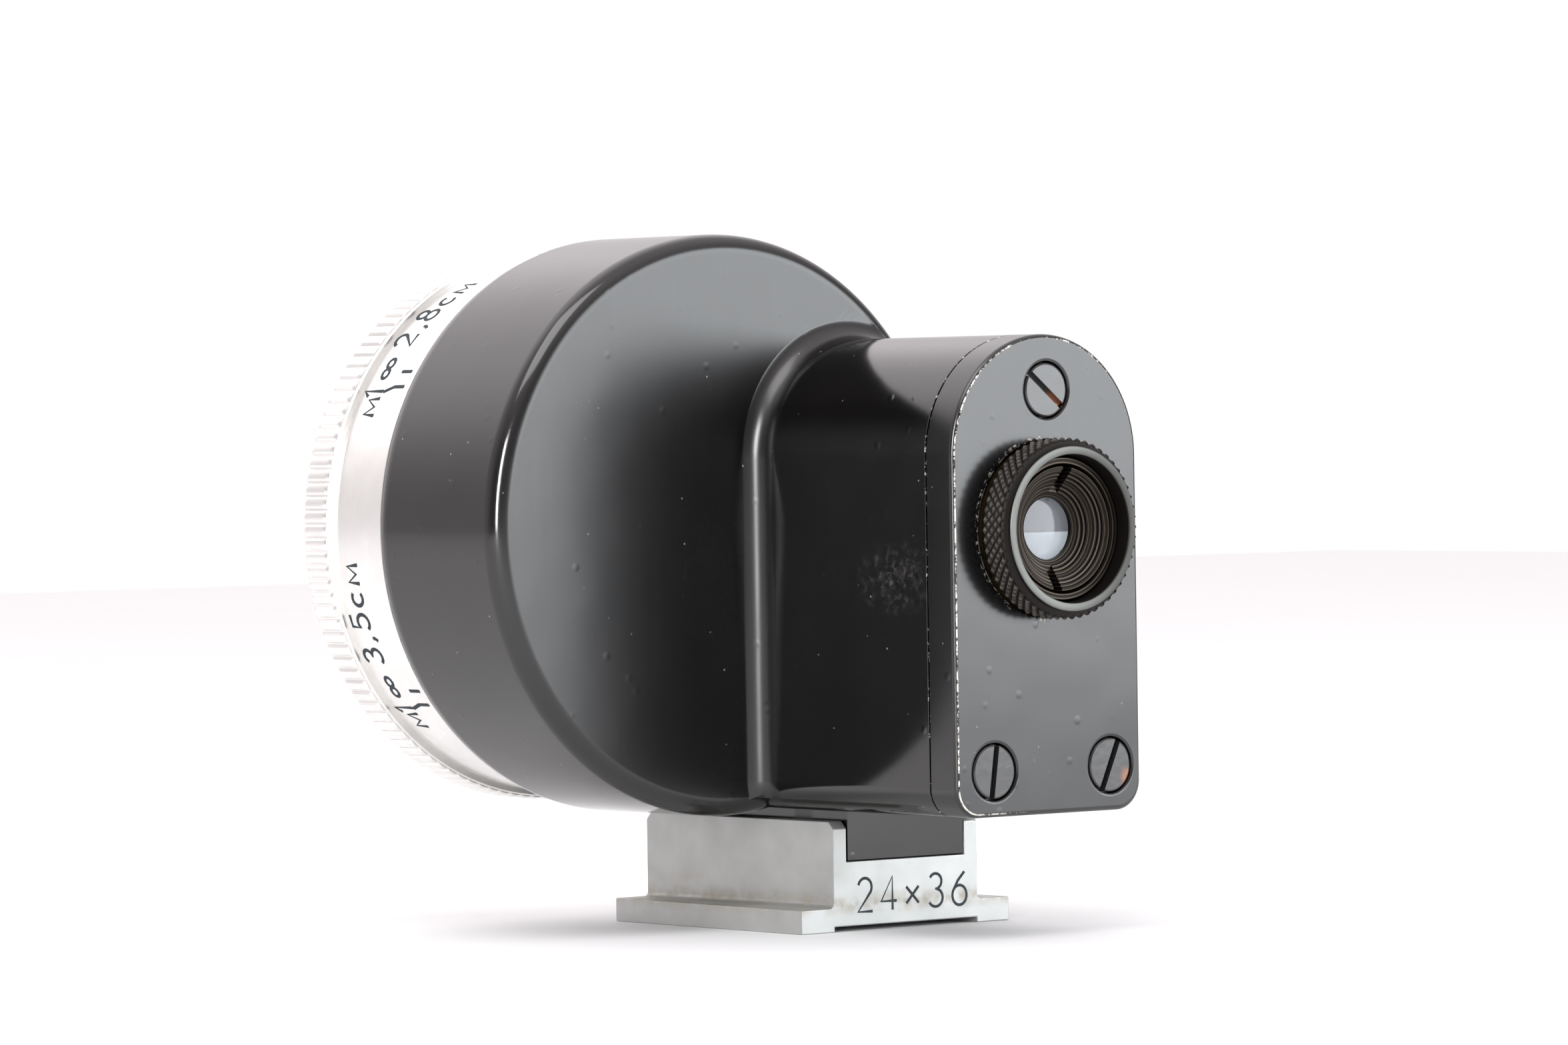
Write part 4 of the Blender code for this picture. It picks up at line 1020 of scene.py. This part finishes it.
# %% [markdown]
# ## The front of the turret
# The five objectives stand in a black plate. Each has a cell with a rounded flange, a ring that holds the
# lens, and a front lens with a soft bloom. They differ only in size, so one function draws them all from
# the boxes of the engineering model's own cells.
# %% Build the plate and the objectives
plate_low, plate_high = box_mm("turret_plate")
plate_front, plate_back, hub_back = plate_high.y, 21.3, plate_low.y
plate_profile = [(17.45, plate_front), (17.55, plate_front - 0.1), (17.55, plate_back), (4.2, plate_back),
                 (4.2, hub_back), (2.29, hub_back), (2.29, plate_front)]
plate = turned("front_plate", plate_profile, TURRET, 160, ring=True)
FOCALS = (135, 85, 50, 35, 28)
cutters = []
for focal in FOCALS:
    mid, size = centre_of(f"objective_cell_{focal}"), box_mm(f"objective_cell_{focal}")
    cell_r = (size[1].x - size[0].x) / 2 - 0.6
    cutters.append(rod("hole", cell_r + 0.15, plate_back - 1, plate_front + 1, (mid.x, mid.z), 72))
above, seat_floor, below = plate_front + 1, plate_front - 0.55, plate_back - 1
seat = [(0.01, above), (1.5, above), (1.5, seat_floor), (0.95, seat_floor), (0.95, below), (0.01, below)]
for name in plate_names:
    mid = centre_of(name)
    cutters.append(turned("seat", seat, (mid.x, mid.z), 40))
carve(plate, *cutters)
placed(plate, "turret", "plate_anodised", "turret_plate", material=plate_black)


def lens_piece(name, node, centre, bulge_back, bulge_front, steps=64, rings=9):
    """A lens with spherical faces inside the box of the model's lens."""
    low, high = box_mm(node)
    radius = (high.x - low.x) / 2
    front, back = high.y - max(bulge_front, 0), low.y + max(bulge_back, 0)
    shares = [i / rings for i in range(rings + 1)]
    top = [(max(radius * s, 0.004), front + bulge_front * (1 - s * s)) for s in shares]
    bottom = [(max(radius * s, 0.004), back - bulge_back * (1 - s * s)) for s in reversed(shares)]
    return turned(name, top + bottom, centre, steps)


for focal in FOCALS:
    low, high = box_mm(f"objective_cell_{focal}")
    mid = (low + high) / 2
    centre, cell_r, front, back = (mid.x, mid.z), (high.x - low.x) / 2 - 0.6, high.y, low.y
    bore, seat_y, flange = cell_r - 0.7, plate_front - 1.3, plate_front + 0.15
    grooves = [(bore + 0.04 * (i % 2), front - 0.16 - 0.06 * i) for i in range(5, -1, -1)]
    body = [(cell_r + 0.30, front), (cell_r + 0.52, front - 0.05), (cell_r + 0.6, front - 0.18),
            (cell_r + 0.6, flange), (cell_r, flange), (cell_r, back), (bore - 0.5, back),
            (bore - 0.5, seat_y), (bore, seat_y), *grooves, (bore + 0.12, front - 0.05), (bore + 0.2, front)]
    cell = turned(f"lens_cell_{focal}", body, centre, 96, ring=True)
    placed(cell, "turret", "black_anodised", f"objective_cell_{focal}", material=black_anodised)
    glass = lens_piece(f"lens_{focal}", f"objective_lens_{focal}", centre, -0.1, 0.3)
    placed(glass, "turret", "lens_glass", f"objective_lens_{focal}", material=clear_glass.material)
    ring_low, ring_high = box_mm(f"objective_ring_{focal}")
    outer = (ring_high.x - ring_low.x) / 2
    ring_body = [(outer - 0.05, ring_high.y), (outer, ring_high.y - 0.05), (outer, ring_low.y),
                 (outer - 0.68, ring_low.y), (outer - 0.66, ring_low.y + 0.1), (outer - 0.38, ring_high.y)]
    holder = turned(f"lens_ring_{focal}", ring_body, centre, 96, ring=True)
    placed(holder, "turret", "black_anodised", f"objective_ring_{focal}", material=black_anodised)

# %% [markdown]
# ## The focusing eyepiece
# The eyepiece ring is knurled in fine diamonds, which come from two crossed threads, so every other row
# sits half a pitch round. Its rim is thin and rubbed grey, with painted shade darkening its right side.
# Inside, a retaining ring is turned as a funnel of fine steps that swallow stray light, and two slots in
# it take a spanner.
# %% Build the eyepiece
DIAMONDS, ROWS, ROW_STEP = 54, 5, 0.355
KNURL_CORE_R, KNURL_PROUD, KNURL_YS = 5.93, 0.19, (-23.26, -21.2)


def diamond(half_along, half_across, sink=0.06):
    """A four-sided pyramid with a flattened tip, standing on a sunk base."""
    rings = []
    for x, share in ((-sink, 1.0), (0.0, 1.0), (KNURL_PROUD, 0.22)):
        along, across = half_along * share, half_across * share
        rings.append([(x, along, 0), (x, 0, across), (x, -along, 0), (x, 0, -across)])
    return lofted("diamond", rings)


first_row = sum(KNURL_YS) / 2 - ROW_STEP * (ROWS - 1) / 2
pitch = 2 * math.pi * KNURL_CORE_R / DIAMONDS
diamonds = belted("diamonds", diamond(ROW_STEP, pitch / 2), DIAMONDS, ROWS, ROW_STEP, KNURL_CORE_R,
                  (EYE_X, first_row, EYE_Z), worn_and_shaded_brass.material)
ring_profile = [(4.93, -18.9), (5.3, -18.9), (5.3, -21.18), (5.86, -21.18), (KNURL_CORE_R, -21.26),
                (KNURL_CORE_R, -23.14), (5.84, -23.24), (5.62, -23.3), (5.56, -23.34), (5.54, -23.4),
                (5.54, RIM_Y + 0.06), (5.49, RIM_Y + 0.01),
                (5.4, RIM_Y), (5.1, RIM_Y), (5.02, RIM_Y + 0.03), (4.97, RIM_Y + 0.1)]
eyepiece_ring = turned("focusing_ring", ring_profile, EYE, 144, ring=True)
placed(joined(eyepiece_ring, diamonds), "focus_ring", "knurled_brass", "eyepiece_ring",
       material=worn_and_shaded_brass.material, angle=25)

mouth_r, throat_r, mouth_y, throat_y, STEPS = 3.95, 2.1, -22.5, -20.95, 9
funnel = []
for i in range(STEPS):
    share, after = i / STEPS, (i + 1) / STEPS
    radius, inner = mouth_r + (throat_r - mouth_r) * share, mouth_r + (throat_r - mouth_r) * after
    y, inner_y = mouth_y + (throat_y - mouth_y) * share, mouth_y + (throat_y - mouth_y) * after
    funnel += [(radius, y), (radius - (radius - inner) * 0.25, y + (inner_y - y) * 0.8)]
retainer_profile = [(3.7, -20.65), (4.2, -20.65), (4.2, -22.45), (4.15, -22.5), *funnel, (throat_r, throat_y),
                    (throat_r, -20.65)]
retainer = turned("funnel_ring", retainer_profile, EYE, 128, ring=True)
spanner = slab("spanner", (-0.38, -22.9, -6), (0.38, -21.2, 6))
on_axis = Matrix.Translation((EYE_X * MM, 0, EYE_Z * MM))
spanner.data.transform(on_axis @ Matrix.Rotation(math.radians(7), 4, "Y"))
carve(retainer, spanner)
placed(retainer, "eyepiece", "blackened_brass", "eyepiece_retaining_ring", material=funnel_brass.material,
       angle=22)
eye_lens = lens_piece("eye_lens", "eyepiece_lens", EYE, 0.55, 0.35, 96)
placed(eye_lens, "eyepiece", "lens_glass", "eyepiece_lens", material=eye_glass_painted_glow.material)
tube_grooves = [(4.35 + 0.05 * (i % 2), -22.5 + 0.1 * i) for i in range(16)]
tube_profile = [(3.0, -17.0), (4.8, -17.0), (4.8, -22.55), (4.75, -22.6), (4.4, -22.6), *tube_grooves,
                (4.35, -20.5), (3.95, -20.5), (3.95, -18.4), (3.0, -18.4)]
tube = turned("eye_tube", tube_profile, EYE, 128, ring=True)
carve(tube, slab("key", (EYE_X - 0.5, -18.3, EYE_Z + 4.15), (EYE_X + 0.5, -16.0, EYE_Z + 5.5)))
placed(tube, "eyepiece", "blackened_brass", "eyepiece_tube", material=funnel_brass.material)

# %% [markdown]
# ## The click spring
# The ball's spring is a coil of hard wire. Its joint pushes the ball down on it.
# %% Wind the spring
spring_low, spring_high = box_mm("detent_spring")
spring_mid = (spring_low + spring_high) / 2
WIRE_R, COIL_TURNS, BALL_TRAVEL, AROUND = 0.13, 4, 0.35, 24
coil_r = (spring_high.x - spring_low.x) / 2 - WIRE_R
rise = spring_high.z - spring_low.z - 2 * WIRE_R
spring_foot = Vector((spring_mid.x, spring_mid.y, spring_low.z))
wire_rings = []
for i in range(COIL_TURNS * AROUND + 1):
    turn = 2 * math.pi * i / AROUND
    out = Vector((math.cos(turn), math.sin(turn), 0))
    middle = spring_foot + out * coil_r + Vector((0, 0, WIRE_R + rise * i / (COIL_TURNS * AROUND)))
    wire_rings.append([middle + out * x + Vector((0, 0, z)) for x, z in arc((0, 0), WIRE_R, 0, 315, 8)])
spring = lofted("click_spring", wire_rings)
placed(spring, "frame", "spring_steel", "detent_spring", material=spring_steel, angle=60)
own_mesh(spring)

# %% [markdown]
# ## What stays inside
# The axle, the click stop, the prisms and their cradle are seen only through glass or with the turret off.
# Their engineering shapes are already right, so they keep them and only take a finish.
# %% Give the inner pieces their finishes
INNER = {
    bright_steel: ("turret_axle", "detent_wheel", "detent_ball", "detent_block_screw", "bracket_screw_lower",
                   "bracket_screw_upper", "guide_pin"),
    spring_steel: ("axle_washer", "prism_clamp"),
    yellow_brass: ("detent_block", "eyepiece_bush"),
    black_anodised: ("turret_baffle", "field_mask", "field_lens_cell", "prism_bracket"),
    clear_glass.material: ("field_lens", "objective_rear_lens_35", "objective_rear_lens_28"),
    prism_glass.material: ("prism_front", "prism_roof"),
}
for finish, names in INNER.items():
    for name in names:
        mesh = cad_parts[name].data
        mesh.materials.clear()
        mesh.materials.append(finish)
print("finished inside:", sum(len(names) for names in INNER.values()), "pieces")

# %% [markdown]
# ## The studio
# Black gloss shows nothing but its surroundings, so the room is the finish. A white table runs back into a
# white wall. One large soft light hangs up and to the left, behind the finder's back. The room in front of
# the drum is dim, which keeps its side brown-black, and a grey card behind the right shoulder lays a calm
# grey sheen over the flat rear cover. The camera itself sees white all round.
# %% Light the scene


def area_light(name, at, towards, size, power, colour=(1, 1, 1)):
    data = bpy.data.lights.new(name, "AREA")
    data.shape, data.size, data.size_y, data.energy, data.color = "RECTANGLE", *size, power, colour
    light = bpy.data.objects.new(name, data)
    aim = (Vector(towards) - Vector(at)).to_track_quat("-Z", "Y")
    light.matrix_world = Matrix.Translation(at) @ aim.to_matrix().to_4x4()
    scene.collection.objects.link(light)
    return light


world = bpy.data.worlds.new("studio")
scene.world = world
world.use_nodes = True
nodes, links = world.node_tree.nodes, world.node_tree.links
nodes.clear()
direction = nodes.new("ShaderNodeTexCoord").outputs["Generated"]


def lobe(towards, inner, outer):
    """A soft patch of sky round a direction, given by the angles where it is full and where it ends."""
    dot = nodes.new("ShaderNodeVectorMath")
    dot.operation = "DOT_PRODUCT"
    dot.inputs[1].default_value = Vector(towards).normalized()
    links.new(direction, dot.inputs[0])
    step = nodes.new("ShaderNodeMapRange")
    step.interpolation_type = "SMOOTHSTEP"
    links.new(dot.outputs["Value"], step.inputs[0])
    step.inputs[1].default_value = math.cos(math.radians(outer))
    step.inputs[2].default_value = math.cos(math.radians(inner))
    return step.outputs[0]


def world_maths(operation, *terms):
    made = nodes.new("ShaderNodeMath")
    made.operation = operation
    for i, term in enumerate(terms):
        if isinstance(term, bpy.types.NodeSocket):
            links.new(term, made.inputs[i])
        else:
            made.inputs[i].default_value = term
    return made.outputs[0]


AMBIENT = 0.30
PATCHES = (  # strength, direction, full within, gone beyond
    (0.50, (-0.63, 0.78, 0.1), 15, 60),
    (0.90, (0, 0, 1), 20, 75),
    (0.60, (0.63, 0.78, 0), 20, 60),
    (0.85, (0, 0.72, 0.70), 8, 50),
)
brightness = AMBIENT
for share, *patch in PATCHES:
    brightness = world_maths("ADD", brightness, world_maths("MULTIPLY", lobe(*patch), share))
seen_by = nodes.new("ShaderNodeLightPath").outputs["Is Camera Ray"]
unseen = world_maths("MULTIPLY", world_maths("SUBTRACT", 1.0, seen_by), brightness)
strength = world_maths("ADD", seen_by, unseen)
background = nodes.new("ShaderNodeBackground")
tint = nodes.new("ShaderNodeMix")
tint.data_type = "RGBA"
tint.inputs[6].default_value, tint.inputs[7].default_value = (1.0, 0.95, 0.965, 1), (1, 1, 1, 1)
links.new(seen_by, tint.inputs[0])
links.new(tint.outputs[2], background.inputs["Color"])
links.new(strength, background.inputs["Strength"])
links.new(background.outputs[0], nodes.new("ShaderNodeOutputWorld").inputs["Surface"])

area_light("grey_card", (0.40, -0.50, 0.10), (0.0, 0.0, 0.03), (0.55, 0.45), 4.1, (0.93, 0.97, 1.0))
area_light("window", (-0.56, -0.44, 0.19), (0.0, 0.0, 0.03), (0.16, 0.34), 3.2)
area_light("ceiling", (-0.25, -0.20, 0.60), (0.0, 0.0, 0.02), (0.40, 0.40), 1.6)
scene.view_settings.view_transform = "Standard"

paper = Finish("paper", Specular_IOR_Level=0.2)
paper.set(Base_Color=paper.blend(paper.noise(0.05, detail=2), (0.80, 0.805, 0.81), (0.78, 0.785, 0.79)),
          Roughness=0.7 + 0.1 * paper.noise(0.2))
table = slab("table", (-900, -900, -6), (900, 900, 0), paper.material)
